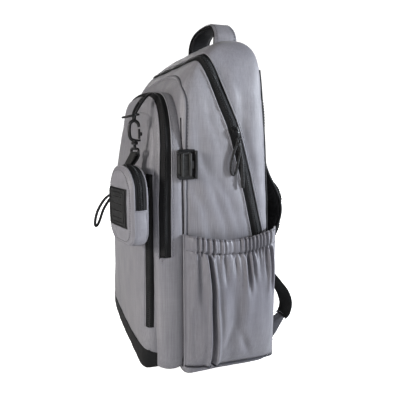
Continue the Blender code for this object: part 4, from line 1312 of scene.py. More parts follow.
    # outside faces look away from the bag
    b.normal_update()
    if sum(f.normal.x * f.calc_area() for f in b.faces) * side < 0:
        bmesh.ops.reverse_faces(b, faces=b.faces)
    b.to_mesh(ob.data)
    b.free()
    area_m2 = sum(p.area for p in ob.data.polygons)
    ob.data.materials.append(M_LINING)
    m = ob.modifiers.new("s", "SOLIDIFY")
    m.thickness, m.offset, m.material_offset = 0.0014, -1, 1
    bake(ob)
    ob.data.shade_smooth()
    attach(ob, "bag")
    tag = "right" if side > 0 else "left"
    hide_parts("side_pocket_" + tag, "elastic_hem_" + tag)
    # stitch rows of the casing, the bottom welt and the side seams
    g = Geo()
    for low in (21.4, 2.4):
        line, nn = [], []
        for i in range(nu + 1):
            u = i / nu
            z_low, top = 18.0 - 7.0 * u, TOP_Z - dip(u)
            p = point(u, (top - low - z_low) / (top - z_low))
            line.append(p)
            nn.append(Vector((side, 0, 0)))
        g.stitches(line[4:-4], nn[4:-4], 2.4, 1.2, 0.7, 0.4, lift=0.15)
    st = g.obj("pocket_stitch_" + tag, M_THREAD_D, "bag")
    g = Geo()
    g.tube([point(i / 60, 0.0) + Vector((side * 0.9, 0, -0.8)) for i in range(61)], 1.2, 8)
    wd = g.obj("pocket_piping_" + tag, M_WING, "bag")
    g = Geo()
    for u in (0.0, 1.0):
        g.tube([point(u, v / 40) + Vector((side * 0.3, 0, 0)) for v in range(41)], 1.5, 8)
    wl = g.obj("pocket_welt_" + tag, M_GREY, "bag")
    return area_m2


POCKET_AREAS = [side_pocket(1, "side_pocket_cloth_right"), side_pocket(-1, "side_pocket_cloth_left")]

# ------------------------------------------------------------------ USB port: housing, socket and hinged rubber flap
PY, PZ, PX = -53.0, 304.0, 145.3


def in_x(x0):
    return lambda a, b, h: Vector((x0 + h, a, b))


g = Geo()
g.prism(rounded(PY - 13, PY + 13, PZ - 20, PZ + 20, 4, 5), in_x(PX), -1.5, 3.0, 1.0, 3)
g.prism(rounded(PY - 11, PY - 7.4, PZ - 17, PZ + 17, 1.2, 3), in_x(PX), 2.5, 7.0, 0.6, 2)
g.prism(rounded(PY + 0.4, PY + 4, PZ - 17, PZ + 17, 1.2, 3), in_x(PX), 2.5, 7.0, 0.6, 2)
g.prism(rounded(PY - 8, PY + 1, PZ + 8.2, PZ + 17, 1.0, 3), in_x(PX), 2.5, 7.0, 0.6, 2)
g.prism(rounded(PY - 8, PY + 1, PZ - 17, PZ - 8.2, 1.0, 3), in_x(PX), 2.5, 7.0, 0.6, 2)
for s in (1, -1):
    g.prism(rounded(PY - 14.2, PY - 10.6, PZ + s * 13.6 - 1.6, PZ + s * 13.6 + 1.6, 1.0, 3), in_x(PX), 2.0, 9.6, 0.6, 2)
g.prism(rounded(PY + 9.0, PY + 12.8, PZ - 18.6, PZ + 18.6, 1.4, 4), in_x(PX), 2.6, 10.4, 0.8, 3)
ob = g.obj("usb_port_housing", M_PLASTIC, "bag", angle=40)
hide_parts("usb_housing")
g = Geo()
for s in (1, -1):
    cy = PZ + s * 16.6
    g.prism([(PY + 8.6 + 1.5 * math.cos(a), cy + 1.5 * math.sin(a)) for a in (2 * math.pi * i / 14 for i in range(14))], in_x(PX), 2.6, 3.7, 0.4, 2)
ob = g.obj("usb_rivets", M_METAL, "bag", angle=40)
frame["nodes"]["usb_socket"].data.materials.clear()
frame["nodes"]["usb_socket"].data.materials.append(M_STEEL)
g = Geo()
g.prism(rounded(PY - 11.6, PY + 4.4, PZ - 16, PZ + 16, 2.6, 5), in_x(PX), 7.3, 9.2, 0.7, 3)
g.prism(rounded(PY - 8.6, PY + 1.6, PZ - 12.6, PZ + 12.6, 2.0, 5), in_x(PX), 8.9, 10.2, 0.6, 3)
for i in range(5):
    g.prism(rounded(PY - 6.4, PY - 0.6, PZ - 7.2 + i * 3.4, PZ - 5.8 + i * 3.4, 0.6, 3), in_x(PX), 10.0, 10.7, 0.3, 2)
g.prism(rounded(PY + 3.5, PY + 8.4, PZ - 5.4, PZ + 5.4, 1.8, 4), in_x(PX), 7.5, 9.1, 0.6, 3)
g.prism(rounded(PY - 5.6, PY - 4.2, PZ - 6, PZ + 6, 0.4, 2), in_x(PX), 4.8, 7.8, 0.2, 1)
g.tube([(PX + 8.4, PY - 12.4, PZ - 11.8 + 23.6 * i / 6) for i in range(7)], 1.45, 12)
g.prism(rounded(PY - 10.8, PY - 7.2, PZ - 15.2, PZ + 15.2, 1.4, 4), in_x(PX), 8.8, 12.6, 0.8, 3)
g.prism(rounded(PY + 0.2, PY + 3.8, PZ - 15.2, PZ + 15.2, 1.4, 4), in_x(PX), 8.8, 12.2, 0.8, 3)
ob = g.obj("usb_port_flap", M_RUBBER, "usb_flap", angle=40)
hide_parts("usb_flap")

# ------------------------------------------------------------------ back: foam pads under mesh, each with a sewn channel and a bound edge
BACK = [(25, 85.8), (110, 85.8), (160, 80.3), (200, 75.3), (260, 72.3), (320, 69.3), (388, 64.6)]


def back_y(z):
    return lerp(BACK, z)


def rear_surface(x, z):
    hit = cast((x, 300, z), (0, -1, 0))
    return hit


for side, tag in ((1, "right"), (-1, "left")):
    o = rounded(12, 114, 30, 380, [14, 22, 30, 14], 8)
    path = resample([Vector((x, z, 0)) for x, z in o], count=150, loop=True)
    o = [(q.x, q.y) for q in path]
    cx, cz = 63, 205
    g = Geo()
    rings = []
    for s, h in ((1.0, -2.0), (1.0, 1.5), (0.985, 4.5), (0.95, 6.6), (0.88, 7.4), (0.6, 7.6), (0.25, 7.6)):
        rings.append([(side * (cx + (x - cx) * (s if abs(x - cx) > 1 else 1)), back_y(cz + (z - cz) * (0.96 + 0.04 * s if s > 0.9 else s)) + h, cz + (z - cz) * (0.96 + 0.04 * s if s > 0.9 else s)) for x, z in o])
    g.rings(rings)
    pad = soft_solid(g, 3.6, 2, dict(pressure=3.0, cap=2.6, frames=10, tension=15.0, pin=lambda p: 1.0 if p.y - back_y(p.z) < 1.0 else 0.0), 0.0)

    def channels(p, n):
        d = 0.0
        if n.y > 0.2:
            for zc in (96, 162, 228, 294):
                t = p.z - zc - 0.12 * (abs(p.x) - 63)
                d -= 4.2 * math.exp(-(t / 4.2) ** 2)
            d += 0.6 * nz(p.x / 20, p.z / 20, 0, 41)
        return d

    push(pad, channels)
    for v in pad.verts:
        lim = back_y(v.co.z) + 9.4
        if v.co.y > lim:
            v.co.y = lim
    relax(pad, 1, 0.3)
    tree = BVHTree.FromBMesh(pad)
    ob = bm_obj(pad, "back_foam_" + tag, M_MESH, "back_flap")
    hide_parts("back_pad_" + tag)
    g = Geo()
    edge = [Vector((side * x, back_y(z) + 1.4, z)) for x, z in o]
    g.tube(edge, 1.9, 8, loop=True)
    bd = g.obj("back_binding_" + tag, M_TRIM, "back_flap")
    g = Geo()
    for zc in (96, 162, 228, 294):
        line, nn = [], []
        for i in range(40):
            x = 18 + 90 * i / 39
            z = zc + 0.12 * (x - 63)
            hit = tree.ray_cast(Vector((side * x, 300, z)), Vector((0, -1, 0)))
            if hit[0]:
                line.append(hit[0])
                nn.append(hit[1])
        if len(line) > 4:
            g.stitches(line, nn, 2.6, 1.3, 0.8, 0.45, lift=0.1)
    sw = g.obj("back_stitch_" + tag, M_THREAD_K, "back_flap")

# centre channel strip
g = Geo()
zs = [44 + 332 * i / 60 for i in range(61)]
g.strip(calm([rear_surface(0, z)[0] + Vector((0, 1.7, 0)) for z in zs], 3), (1, 0, 0), [(-7, -0.6), (7, -0.6), (7.2, 0), (6.4, 0.9), (-6.4, 0.9), (-7.2, 0)])
ob = g.obj("back_channel", M_TRIM, "back_flap")

# ------------------------------------------------------------------ carry handle
HY = 38.0
arch = catmull([(57, HY, 464), (58.5, HY, 480), (57, HY, 490.5), (47.5, HY, 501.5), (28, HY, 508.4), (0, HY, 510), (-28, HY, 508.4), (-47.5, HY, 501.5), (-57, HY, 490.5),
                (-58.5, HY, 480), (-57, HY, 464)], 70)


def band(half, lo, hi, r=1.2, seg=8):
    """A flat section with rounded edges and a slight crown."""
    out = []
    for i in range(seg + 1):
        a = -half + 2 * half * i / seg
        k = 1 - (abs(a) / half) ** 6
        out.append((a, lo + (hi - lo) * 0.5 * (1 - k)))
    for i in range(seg + 1):
        a = half - 2 * half * i / seg
        k = 1 - (abs(a) / half) ** 6
        out.append((a, hi - (hi - lo) * 0.5 * (1 - k)))
    return out


def handle_w(u):
    # wider at the feet, gathered in the middle
    return 18.4 - 2.4 * math.exp(-((u - 0.5) / 0.28) ** 2)


g = Geo()
g.strip(arch, (0, 1, 0), lambda u: band(handle_w(u), -0.2, 4.0 + 0.4 * math.sin(u * 40)))
handle_out = g.obj("handle_outer", M_GREY)
g = Geo()
g.strip(arch, (0, 1, 0), lambda u: band(handle_w(u) - 1.6, -4.0, -0.2))
handle_in = g.obj("handle_inner", M_WEB_X)
g = Geo()
for a in (-1, 1):
    pts = []
    for i, p in enumerate(arch):
        u = i / (len(arch) - 1)
        pts.append(p + Vector((0, a * (handle_w(u) - 0.4), 0)))
    g.tube(pts, 1.5, 8)
handle_pipe = g.obj("handle_binding", M_TRIM)
ts = tangents(arch)
g = Geo()
for a in (-1, 1):
    line, nn = [], []
    for i, (p, t) in enumerate(zip(arch, ts)):
        u = i / (len(arch) - 1)
        out = Vector((0, 1, 0)).cross(t).normalized()
        if out.dot(p - Vector((0, HY, 467))) < 0:
            out = -out
        line.append(p + Vector((0, a * (handle_w(u) - 3.6), 0)) + out * 3.9)
        nn.append(out)
    g.stitches(line, nn, 2.8, 1.3, 0.7, 0.45, lift=0.1)
handle_st = g.obj("handle_stitch", M_THREAD_D)
for ob, slot in ((handle_out, "grey_fabric"), (handle_in, "black_webbing"), (handle_pipe, "black_webbing"), (handle_st, "grey_fabric")):
    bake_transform(ob)
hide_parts("carry_handle", "handle_tab_right", "handle_tab_left")
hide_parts("handle_lining")

# ------------------------------------------------------------------ shoulder straps
SX = 74.0
PAD = [(SX, 61.5, 436), (SX, 65.0, 431), (SX, 69.5, 422), (SX, 75.0, 400), (SX, 79.5, 372), (SX, 82, 330), (SX, 86, 302), (SX + 1, 94.5, 279), (SX + 2, 105.5, 259), (SX + 3, 114, 240),
       (SX + 4, 116.5, 222), (SX + 5, 112.5, 203), (SX + 6, 104.5, 184), (SX + 7, 98, 168)]
WEBR = [(SX + 7.6, 98.4, 164), (SX + 8, 98.5, 158), (SX + 10, 99.5, 142), (SX + 15, 104, 123), (SX + 24, 113, 107), (SX + 34, 121, 92), (SX + 43, 122.5, 77), (SX + 47, 117.5, 64), (SX + 47.5, 112, 58)]
for side, tag in ((1, "right"), (-1, "left")):
    body = "strap_" + tag
    route = [Vector((p[0] * side, p[1], p[2])) for p in PAD]
    mid = catmull(route, 90)
    ts = tangents(mid)

    def half_w(u):
        return 30.0 * (1 - 0.30 * max(0.0, (u - 0.62) / 0.38)) * (0.9 + 0.1 * ease(0, 0.08, u))

    g = Geo()
    rings = []
    for i, (p, t) in enumerate(zip(mid, ts)):
        u = i / 89
        w = Vector((1, 0, 0))
        w = (w - t * w.dot(t)).normalized()
        h = w.cross(t)
        hw, th = half_w(u) - 1.5, 4.4 * ease(0.0, 0.05, u + 0.012) * ease(0, 0.04, 1.02 - u)
        ring = []
        for k in range(28):
            a = 2 * math.pi * k / 28
            c, s = math.cos(a), math.sin(a)
            ring.append(p + w * (hw * math.copysign(abs(c) ** 0.45, c)) + h * (max(1.0, th) * math.copysign(abs(s) ** 0.6, s)))
        rings.append(ring)
    g.rings(rings)
    pad = soft_solid(g, 3.4, 1, dict(pressure=3.0, cap=1.6, frames=8, tension=15.0), 0.0)
    push(pad, lambda p, n: 0.45 * nz(p.x / 14, p.y / 14, p.z / 22, 51))
    tree = BVHTree.FromBMesh(pad)
    ob = bm_obj(pad, "strap_pad_" + tag, M_MESH)
    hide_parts("shoulder_strap_" + tag)
    pieces = [ob]
    # bound edges and the outer face cloth with its stitch rows
    g = Geo()
    for a in (-1, 1):
        g.tube([p + Vector((a * (half_w(i / 89) - 0.9), 0, 0)) for i, p in enumerate(mid)], 2.1, 8)
    e = g.obj("strap_binding_" + tag, M_TRIM)
    pieces.append(e)
    g = Geo()
    rows = []
    for k in range(9):
        a = -1 + 2 * k / 8
        row = []
        for i, (p, t) in enumerate(zip(mid, ts)):
            w = Vector((1, 0, 0))
            h = (w - t * w.dot(t)).normalized().cross(t)
            if h.y < 0:
                h = -h
            q = p + w * (a * (half_w(i / 89) - 2.6))
            hit = tree.ray_cast(q + h * 30, -h)
            row.append((hit[0] if hit[0] else q + h * 4.4) + h * 0.5)
        rows.append(calm(row, 4))
    g.grid(rows)
    e = g.obj("strap_face_" + tag, M_TRIM)
    m = e.modifiers.new("s", "SOLIDIFY")
    m.thickness, m.offset = 0.0009, 0
    bake(e)
    e.data.shade_smooth()
    pieces.append(e)
    # a webbing keeper loop and a daisy row sewn on the face
    g = Geo()
    row = rows[4]
    centre = [r for r in row]
    nrm_row = []
    for i, (p, t) in enumerate(zip(mid, ts)):
        w = Vector((1, 0, 0))
        h = (w - t * w.dot(t)).normalized().cross(t)
        nrm_row.append(h if h.y > 0 else -h)
    lo, hi = 14, 80
    g.strip([centre[i] + nrm_row[i] * 0.9 for i in range(lo, hi)], (1, 0, 0), [(-9.5, -0.7), (9.5, -0.7), (9.8, 0), (9.5, 0.7), (-9.5, 0.7), (-9.8, 0)])
    for i in (26, 48, 70):
        p, n = centre[i] + nrm_row[i] * 1.3, nrm_row[i]
        t = ts[i]
        g.strip([p + Vector((x, 0, 0)) + n * (1.6 * math.cos(x / 13.0 * 1.45)) for x in (-13, -10, -6, -2, 2, 6, 10, 13)], tuple(t), [(-4, -0.6), (4, -0.6), (4, 0.6), (-4, 0.6)])
    e = g.obj("strap_web_row_" + tag, M_WEB)
    pieces.append(e)
    g = Geo()
    for r in (rows[0], rows[-1]):
        g.stitches([q + n * 0.35 for q, n in zip(r, nrm_row)], nrm_row, 2.8, 1.4, 0.8, 0.45, lift=0.3)
    e = g.obj("strap_stitch_" + tag, M_THREAD_K)
    pieces.append(e)
    for e in pieces:
        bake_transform(e)
    # ladder lock
    c = Vector((side * (SX + 8), 98.3, 158))
    g = Geo()
    place = lambda a, b, h: Vector((c.x + a, c.y + h, c.z + b))
    for bz, bw in ((6.4, 1.9), (1.6, 1.5), (-5.4, 1.9)):
        g.tube([(c.x + x, c.y + 0.6 * math.cos(x / 15) + (0.9 if abs(bz) < 3 else 0), c.z + bz) for x in [-16 + 32 * i / 16 for i in range(17)]], bw, 10)
    for s in (-1, 1):
        g.tube(catmull([(c.x + s * 15.6, c.y, c.z + 7.0), (c.x + s * 16.6, c.y + 0.4, c.z + 0), (c.x + s * 15.6, c.y, c.z - 6.0)], 9), 1.9, 10)
    g.strip([(c.x + x, c.y + 2.6, c.z - 7.4) for x in [-7 + 14 * i / 8 for i in range(9)]], (0, 0, 1), [(-2.6, -0.8), (2.0, -0.8), (2.0, 0.8), (-2.6, 0.8)])
    e = g.obj("ladder_buckle_" + tag, M_PLASTIC, body, angle=45)
    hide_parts("ladder_lock_" + tag)
    # webbing from the buckle to the wing, with its free tail
    web = catmull([Vector((p[0] * side, p[1], p[2])) for p in WEBR], 60)
    ax = [Vector((1, side * 0.35 * min(1.0, i / 30), 0.1 * side * min(1.0, i / 30))) for i in range(60)]
    g = Geo()
    g.strip(web, ax, [(-12.5, -0.7), (-11, -0.95), (11, -0.95), (12.5, -0.7), (12.5, 0.7), (11, 0.95), (-11, 0.95), (-12.5, 0.7)])
    e = g.obj("webbing_" + tag, M_WEB)
    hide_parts("strap_webbing_" + tag)
    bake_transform(e)
    g = Geo()
    tail = catmull([Vector((side * (SX + 8.5), 100.6, 166)), Vector((side * (SX + 8.5), 102.6, 156)), Vector((side * (SX + 7.5), 104.5, 140)), Vector((side * (SX + 6), 104.5, 118)),
                    Vector((side * (SX + 5), 103, 98)), Vector((side * (SX + 5), 102.5, 84))], 40)
    g.strip(tail, (1, 0, 0), [(-12, -0.6), (-11, -0.9), (11, -0.9), (12, -0.6), (12, 0.6), (11, 0.9), (-11, 0.9), (-12, 0.6)])
    g.strip(tail[-6:], (1, 0, 0), [(-12.3, -1.7), (12.3, -1.7), (12.3, 1.7), (-12.3, 1.7)])
    e = g.obj("webbing_tail_" + tag, M_WEB, body)
    # wing of cloth sewn into the back corner
    wing = [(83.5, 10), (83.5, 45), (95, 55), (106, 64), (117, 55), (101, 30)]
    wp = resample([Vector((y, z, 0)) for y, z in wing], count=60, loop=True)
    o = [(q.x, q.y) for q in calm(wp, 1, True)]
    g = Geo()
    wx = side * (SX + 48)
    g.prism(o, lambda a, b, h: Vector((wx + h, a, b)), -2.0, 2.0, 1.1, 3)
    e = g.obj("wing_" + tag, M_WING, "back_flap", angle=50)
    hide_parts("strap_wing_" + tag)
    g = Geo()
    inner_o = [(q[0], q[1]) for q in inset(o, 3.0)]
    for s in (1, -1):
        line = [Vector((wx + s * 2.0, a, b)) for a, b in inner_o]
        g.stitches(line, [Vector((s, 0, 0))] * len(line), 2.6, 1.2, 0.7, 0.4, lift=0.05, loop=True)
    e = g.obj("wing_stitch_" + tag, M_THREAD, "back_flap")

# ------------------------------------------------------------------ zipper sliders and pulls
def frame_of(seat, along, out):
    t, n = Vector(along).normalized(), Vector(out).normalized()
    n = (n - t * n.dot(t)).normalized()
    w = t.cross(n)
    return lambda a, b, h: Vector(seat) + w * a + t * b + n * h


def slider(name, node, body, seat, along, out, size):
    """A stamped slider: shield-shaped body with side flanges and a raised bridge for the pull."""
    wide, long, high = size
    at = frame_of(seat, along, out)
    hw, hl = wide / 2, long / 2
    shield = [(-hw, -hl + 1.5), (-hw * 0.55, -hl), (hw * 0.55, -hl), (hw, -hl + 1.5), (hw, 0), (hw * 0.72, hl * 0.7), (hw * 0.45, hl), (-hw * 0.45, hl), (-hw * 0.72, hl * 0.7), (-hw, 0)]
    g = Geo()
    g.prism(shield, at, 0.2, high * 0.55, 0.5, 3)
    g.prism([(a * 0.72, b * 0.86) for a, b in shield], at, high * 0.4, high * 0.8, 0.5, 3)
    bridge = catmull([at(0, -hl * 0.72, high * 0.6), at(0, -hl * 0.62, high * 1.15), at(0, -hl * 0.1, high * 1.45), at(0, hl * 0.5, high * 1.25), at(0, hl * 0.78, high * 0.6)], 17)
    g.strip(bridge, tuple(at(1, 0, 0) - at(0, 0, 0)), [(-1.5, -0.55), (-1.1, -0.8), (1.1, -0.8), (1.5, -0.55), (1.5, 0.55), (1.1, 0.8), (-1.1, 0.8), (-1.5, 0.55)])
    ob = g.obj(name, M_METAL, body, angle=45)
    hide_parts(node)


def looped(points, across, spread, count=34):
    """Both legs of a doubled cord as one open path: down one side, round the end and up the other."""
    mid = catmull(points, count)
    ts = tangents(mid)
    legs = {}
    for s in (1, -1):
        leg = []
        for i, (p, t) in enumerate(zip(mid, ts)):
            u = i / (count - 1)
            w = Vector(across)
            w = (w - t * w.dot(t)).normalized()
            # pinched at the top, widest low down, closed at the end
            k = (0.34 + 0.66 * ease(0.0, 0.45, u)) * max(0.0, 1 - max(0.0, (u - 0.74) / 0.26) ** 2.2) ** 0.5
            leg.append(p + w * (s * spread * k))
        legs[s] = leg
    return legs[1] + list(reversed(legs[-1]))[1:]


def pull(name, node, body, points, across, spread, r, tag_at=0.12, mat=None, extra=None):
    g = Geo()
    path = resample(looped(points, across, spread), count=84)
    path = calm(path, 2)
    g.tube(path, r, 10)
    mid = catmull(points, 40)
    # a moulded keeper that grips the two legs
    i0 = int(tag_at * 39)
    g.tube(mid[i0:i0 + 5], lambda u: r * 2.05 * (0.82 + 0.25 * math.sin(math.pi * u)), 12, first=across, squash=0.72)
    # eye at the slider
    t = tangents(mid)[0]
    w = Vector(across)
    w = (w - t * w.dot(t)).normalized()
    ring = [mid[0] - t * 1.2 + w * (3.0 * math.cos(a)) + t * (3.0 * math.sin(a)) for a in (2 * math.pi * i / 22 for i in range(22))]
    if extra:
        extra(g)
    ob = g.obj(name, mat or M_CORD, body)
    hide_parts(node)
    h = Geo()
    h.tube(ring, 0.8, 8, loop=True)
    e = h.obj(name + "_eye", M_METAL, body)


def on_line(line, z, sign=0):
    pts, ns = line
    ids = [i for i, p in enumerate(pts) if not sign or p.x * sign > 0]
    i = min(ids, key=lambda k: abs(pts[k].z - z))
    ts = tangents(pts)
    t = ts[i] if ts[i].z < 0 else -ts[i]
    return pts[i], ns[i].normalized(), t


for sign, tag in ((1, "right"), (-1, "left")):
    p, n, t = on_line(lines[0.0], 345, sign)
    slider("main_zip_slider_" + tag, "main_slider_" + tag, "main_slider_" + tag, p + n * 2.2, t, n, (10.5, 17, 4.4))
    top = p + n * 6.6 + t * 9.6
    out = Vector((sign, 0, 0))
    route = [top, top + Vector((sign * 0.6, -2.2, -14)), top + Vector((sign * 1.0, -6.5, -32)), top + Vector((sign * 1.0, -8.5, -48))]

    def straight(g, top=top, sign=sign):
        # a second, straight pull beside the loop: cord above, moulded grip below
        way = catmull([top + Vector((0, 0.6, 0.5)), top + Vector((sign * 0.8, 3.0, -18)), top + Vector((sign * 1.0, 4.6, -38)), top + Vector((sign * 0.9, 6.6, -66))], 30)
        g.tube(way, lambda u: 1.5 + 1.5 * ease(0.42, 0.5, u) - 0.9 * ease(0.9, 1.0, u), 12, squash=0.8)

    pull("main_zip_pull_" + tag, "main_pull_" + tag, "main_pull_" + tag, route, (0, 1, 0), 4.6, 1.75, extra=straight if sign > 0 else None)

# mid compartment slider on the far side
pts, ns = mid_lines[-81.7]
p, n, t = on_line((pts, ns), 322, -1)
q = leaned(p)
slider("mid_zip_slider", "mid_slider", "mid_slider", q + n * 2.5, t, n, (9.5, 16, 4.0))
top = q + n * 6.8 + t * 9.0
pull("mid_zip_pull", "mid_pull", "mid_pull", [top, top + Vector((-0.5, -1.2, -16)), top + Vector((-0.8, -2.4, -34)), top + Vector((-0.8, -3.0, -52))], (0, 1, 0), 4.0, 1.6)

# front pocket slider
fi = min(range(len(mids)), key=lambda i: abs(mids[i].z - 266))
fp, fnn = mids[fi], mnorm[fi].normalized()
slider("front_zip_slider", "front_slider", "front_slider", fp + fnn * 2.9, (0, 0, -1), fnn, (9, 14, 3.6))
top = fp + fnn * 6.2 + Vector((0, 0, -8.6))
pull("front_zip_pull", "front_pull", "front_pull", [top, top + Vector((0.1, -0.8, -14)), top + Vector((-0.7, -2.6, -30)), top + Vector((-1.6, -4.4, -42))], (0.6, 0.8, 0), 3.2, 1.4)

# ------------------------------------------------------------------ hang loop, ring, snap hook
LOOP = [(92, -87.5, 398.5), (97, -96.5, 393.5), (102, -106.5, 382), (104, -112.6, 371), (105, -113.5, 362)]
lat3, nrm3 = Vector((math.cos(math.radians(14)), math.sin(math.radians(14)), 0)), Vector((math.sin(math.radians(14)), -math.cos(math.radians(14)), 0))
g = Geo()
mid = catmull(LOOP, 30)
legs = []
for s in (1, -1):
    w = Vector((0.95, 0.31, 0)) * s
    legs.append([p + w * (4.2 * math.sin(math.pi * min(1.0, i / 29 * 0.86 + 0.1)) ** 0.7) for i, p in enumerate(mid)])
path = legs[0] + list(reversed(legs[1]))
g.tube(calm(resample(path, count=90), 2), 1.75, 10)
g.tube(mid[9:13], lambda u: 3.6, 12, first=(1, 0, 0), squash=0.75)
ob = g.obj("hang_cord", M_CORD, "hang_loop")
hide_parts("hang_loop")
g = Geo()
rc, ru, rv = Vector((104.6, -118, 367.8)), Vector((1, 0, 0)), Vector((0, -0.97, -0.2)).normalized()
g.tube([rc + ru * (11.2 * math.cos(a)) + rv * (10.8 * math.sin(a)) for a in (2 * math.pi * i / 60 for i in range(60))], 1.5, 12, loop=True)
ob = g.obj("split_ring", M_METAL, "hang_loop")
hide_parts("pull_ring")
hx, hy = 105.0, -113.5


def hz(z):
    """Hook heights, drawn up towards its crown."""
    return 361.6 - (361.6 - z) * 0.78


g = Geo()
g.tube(catmull([(hx, hy + d, hz(z)) for d, z in ((0, 327.5), (-4.6, 330), (-6.6, 336), (-6.8, 348), (-5.4, 357), (0, 361.6), (5.2, 357), (6.4, 350.5))], 56),
       lambda u: 2.25 - 0.35 * ease(0.85, 1.0, u), 14)
g.tube([(hx, hy, hz(z)) for z in (324.2, 325.4, 327, 328.8, 329.8)], lambda u: 3.6 - 1.2 * u, 16)
g.tube([(hx, hy, hz(z)) for z in (320.6, 321.2, 322.8, 324.2, 324.9)], lambda u: 4.7 - 0.5 * abs(2 * u - 1) ** 2, 20)
g.tube([(hx, hy, hz(z)) for z in (325.0, 325.8, 326.6)], 4.0, 18)
g.prism(rounded(-2.2, 2.2, -4, 8.4, 1.6, 4), lambda a, b, h: Vector((hx + a, hy + b, h)), hz(326.0), hz(329.6), 0.8, 3)
ob = g.obj("snap_hook", M_METAL, "hook", angle=50)
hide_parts("hook_body")
g = Geo()
g.tube(catmull([(hx, hy + 6.4, hz(330.4)), (hx, hy + 6.5, hz(338)), (hx, hy + 6.4, hz(347.6))], 12), lambda u: 1.75 - 0.25 * u, 12)
g.prism(rounded(-1.5, 1.5, hz(335.6), hz(341.8), 1.2, 4), lambda a, b, h: Vector((hx + a, hy + h, b)), 7.2, 10.4, 0.7, 3)
for z in (337.2, 338.7, 340.2):
    g.tube([(hx + x, hy + 10.3, hz(z)) for x in (-1.2, 0, 1.2)], 0.35, 6)
ob = g.obj("snap_gate", M_METAL, "hook_gate", angle=50)
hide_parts("hook_gate")
g = Geo()
g.tube([(hx, hy, hz(z)) for z in (313.0, 314, 317, 319.6, 320.2)], lambda u: 2.0 + 0.5 * ease(0.75, 1.0, u), 14)
eye = [Vector((hx, hy, 320.0)) + lat3 * a + Vector((0, 0, b)) for a, b in rounded(-10.5, 10.5, -3.9, 3.9, 3.0, 6)]
g.tube(resample(eye, count=64, loop=True), 1.8, 12, loop=True)
g.tube([(hx, hy, hz(z)) for z in (312.4, 313.2, 315, 316)], lambda u: 3.4 - 0.8 * u, 14)
ob = g.obj("swivel_loop", M_METAL, "pouch", angle=50)
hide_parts("swivel_eye")

# ------------------------------------------------------------------ clip-on pouch
PC = Vector((111.0, -127.8, 250.0))
PW, PH, PD = 35.6, 52.0, 13.0


def pp(a, b, h):
    """Pouch place: across, up, and out of its front face."""
    return PC + lat3 * (a + 7.0) + nrm3 * h + Vector((0, 0, b))


def pouch_outline(grow=0.0, count=110):
    o = rounded(-PW - grow, PW + grow, -PH - grow, PH + grow, [19, 19, 29, 29], 9)
    # waisted a little, fuller low down
    o = [(a * (1.0 + 0.035 * math.cos((b + 14) / 30)), b) for a, b in o]
    p = resample([Vector((a, b, 0)) for a, b in o], count=count, loop=True)
    return [(q.x, q.y) for q in p]


def to_pouch(p):
    d = Vector(p) - PC
    return d.dot(lat3) - 7.0, d.z, d.dot(nrm3)


g = Geo()
rings = []
for h, sc_ in ((-PD - 0.2, 0.25), (-PD, 0.6), (-PD + 0.6, 0.84), (-PD + 2.2, 0.94), (-PD + 4.6, 0.985), (-8, 1.0), (0, 1.005), (8, 1.0), (PD - 4.6, 0.985), (PD - 2.2, 0.94), (PD - 0.6, 0.84), (PD + 0.6, 0.6), (PD + 1.0, 0.25)):
    rings.append([pp(a * sc_, b * sc_, h) for a, b in pouch_outline()])
g.rings(rings)
pouch_bm = soft_solid(g, 2.1, 3, dict(pressure=2.4, cap=2.0, frames=8, tension=15.0, pin=lambda p: 1.0 if to_pouch(p)[2] < -10 else 0.0), 0.4)


def pouch_wrinkle(p, n):
    a, b, h = to_pouch(p)
    f = n.dot(nrm3)
    d = 0.5 * nz(a / 12, b / 12, h / 12, 61) + 0.35 * nz(a / 6, b / 8, h / 6, 62)
    # soft dents above the patch and at the lower corner
    if f > 0.3:
        d -= 1.5 * math.exp(-((a - 10) / 9) ** 2 - ((b - 36) / 7) ** 2)
        d -= 1.1 * math.exp(-((a + 14 + 0.6 * (b + 40)) / 4) ** 2 - ((b + 40) / 10) ** 2)
        d += 0.9 * math.exp(-((a + 8) / 12) ** 2 - ((b - 42) / 7) ** 2)
    else:
        d += 0.6 * math.sin(b / 4.5 + 1.5 * nz(b / 12, 0, 0, 63)) * (1 if b < -2 else 0.3) * max(0.0, 1 - abs(f) * 1.5)
    return d


push(pouch_bm, pouch_wrinkle)
p_tree = BVHTree.FromBMesh(pouch_bm)
HB = 8.6        # the band between the two faces runs from -HB to HB
LOW = -4.0      # below this height the band is plain cloth
work = pouch_bm.copy()
for v in work.verts:
    v.co = Vector(to_pouch(v.co))
parts = carve(work, [((0, 0, HB), (0, 0, 1)), ((0, 0, -HB), (0, 0, 1)), ((0, LOW, 0), (0, 1, 0))], None,
              lambda c: "front" if c.z > HB else ("rear" if c.z < -HB else ("band" if c.y > LOW else "gusset")))
for kind, name, mat, node, slot in (("front", "pouch_face", M_GREY, "pouch_front", "grey_fabric"), ("rear", "pouch_rear", M_GREY, "pouch_back", "grey_fabric"),
                                    ("band", "pouch_zip_band", M_TAPE, "pouch_zip_tape", "zip_tape"), ("gusset", "pouch_side", M_GREY, "pouch_gusset", "grey_fabric")):
    b = parts[kind]
    even_edges(b, 2)
    for v in b.verts:
        c = v.co.copy()
        v.co = pp(c.x, c.y, c.z)
    b.normal_update()
    if kind == "band":
        push(b, lambda p, n: -0.7)
    ob = bm_obj(b, name, mat, "pouch", 1.6, 0.0, M_LINING)
    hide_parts(node)


def pouch_edge(h, keep=None, grow=0.0):
    line, nn = [], []
    for a, b in pouch_outline(6.0, 150):
        if keep and not keep(b):
            continue
        o = pp(a * 1.6, b * 1.6, h)
        hit = p_tree.ray_cast(o, (pp(a * 0.2, b * 0.2, h) - o).normalized())
        if hit[0]:
            line.append(hit[0] + hit[1] * grow)
            nn.append(hit[1])
    return line, nn


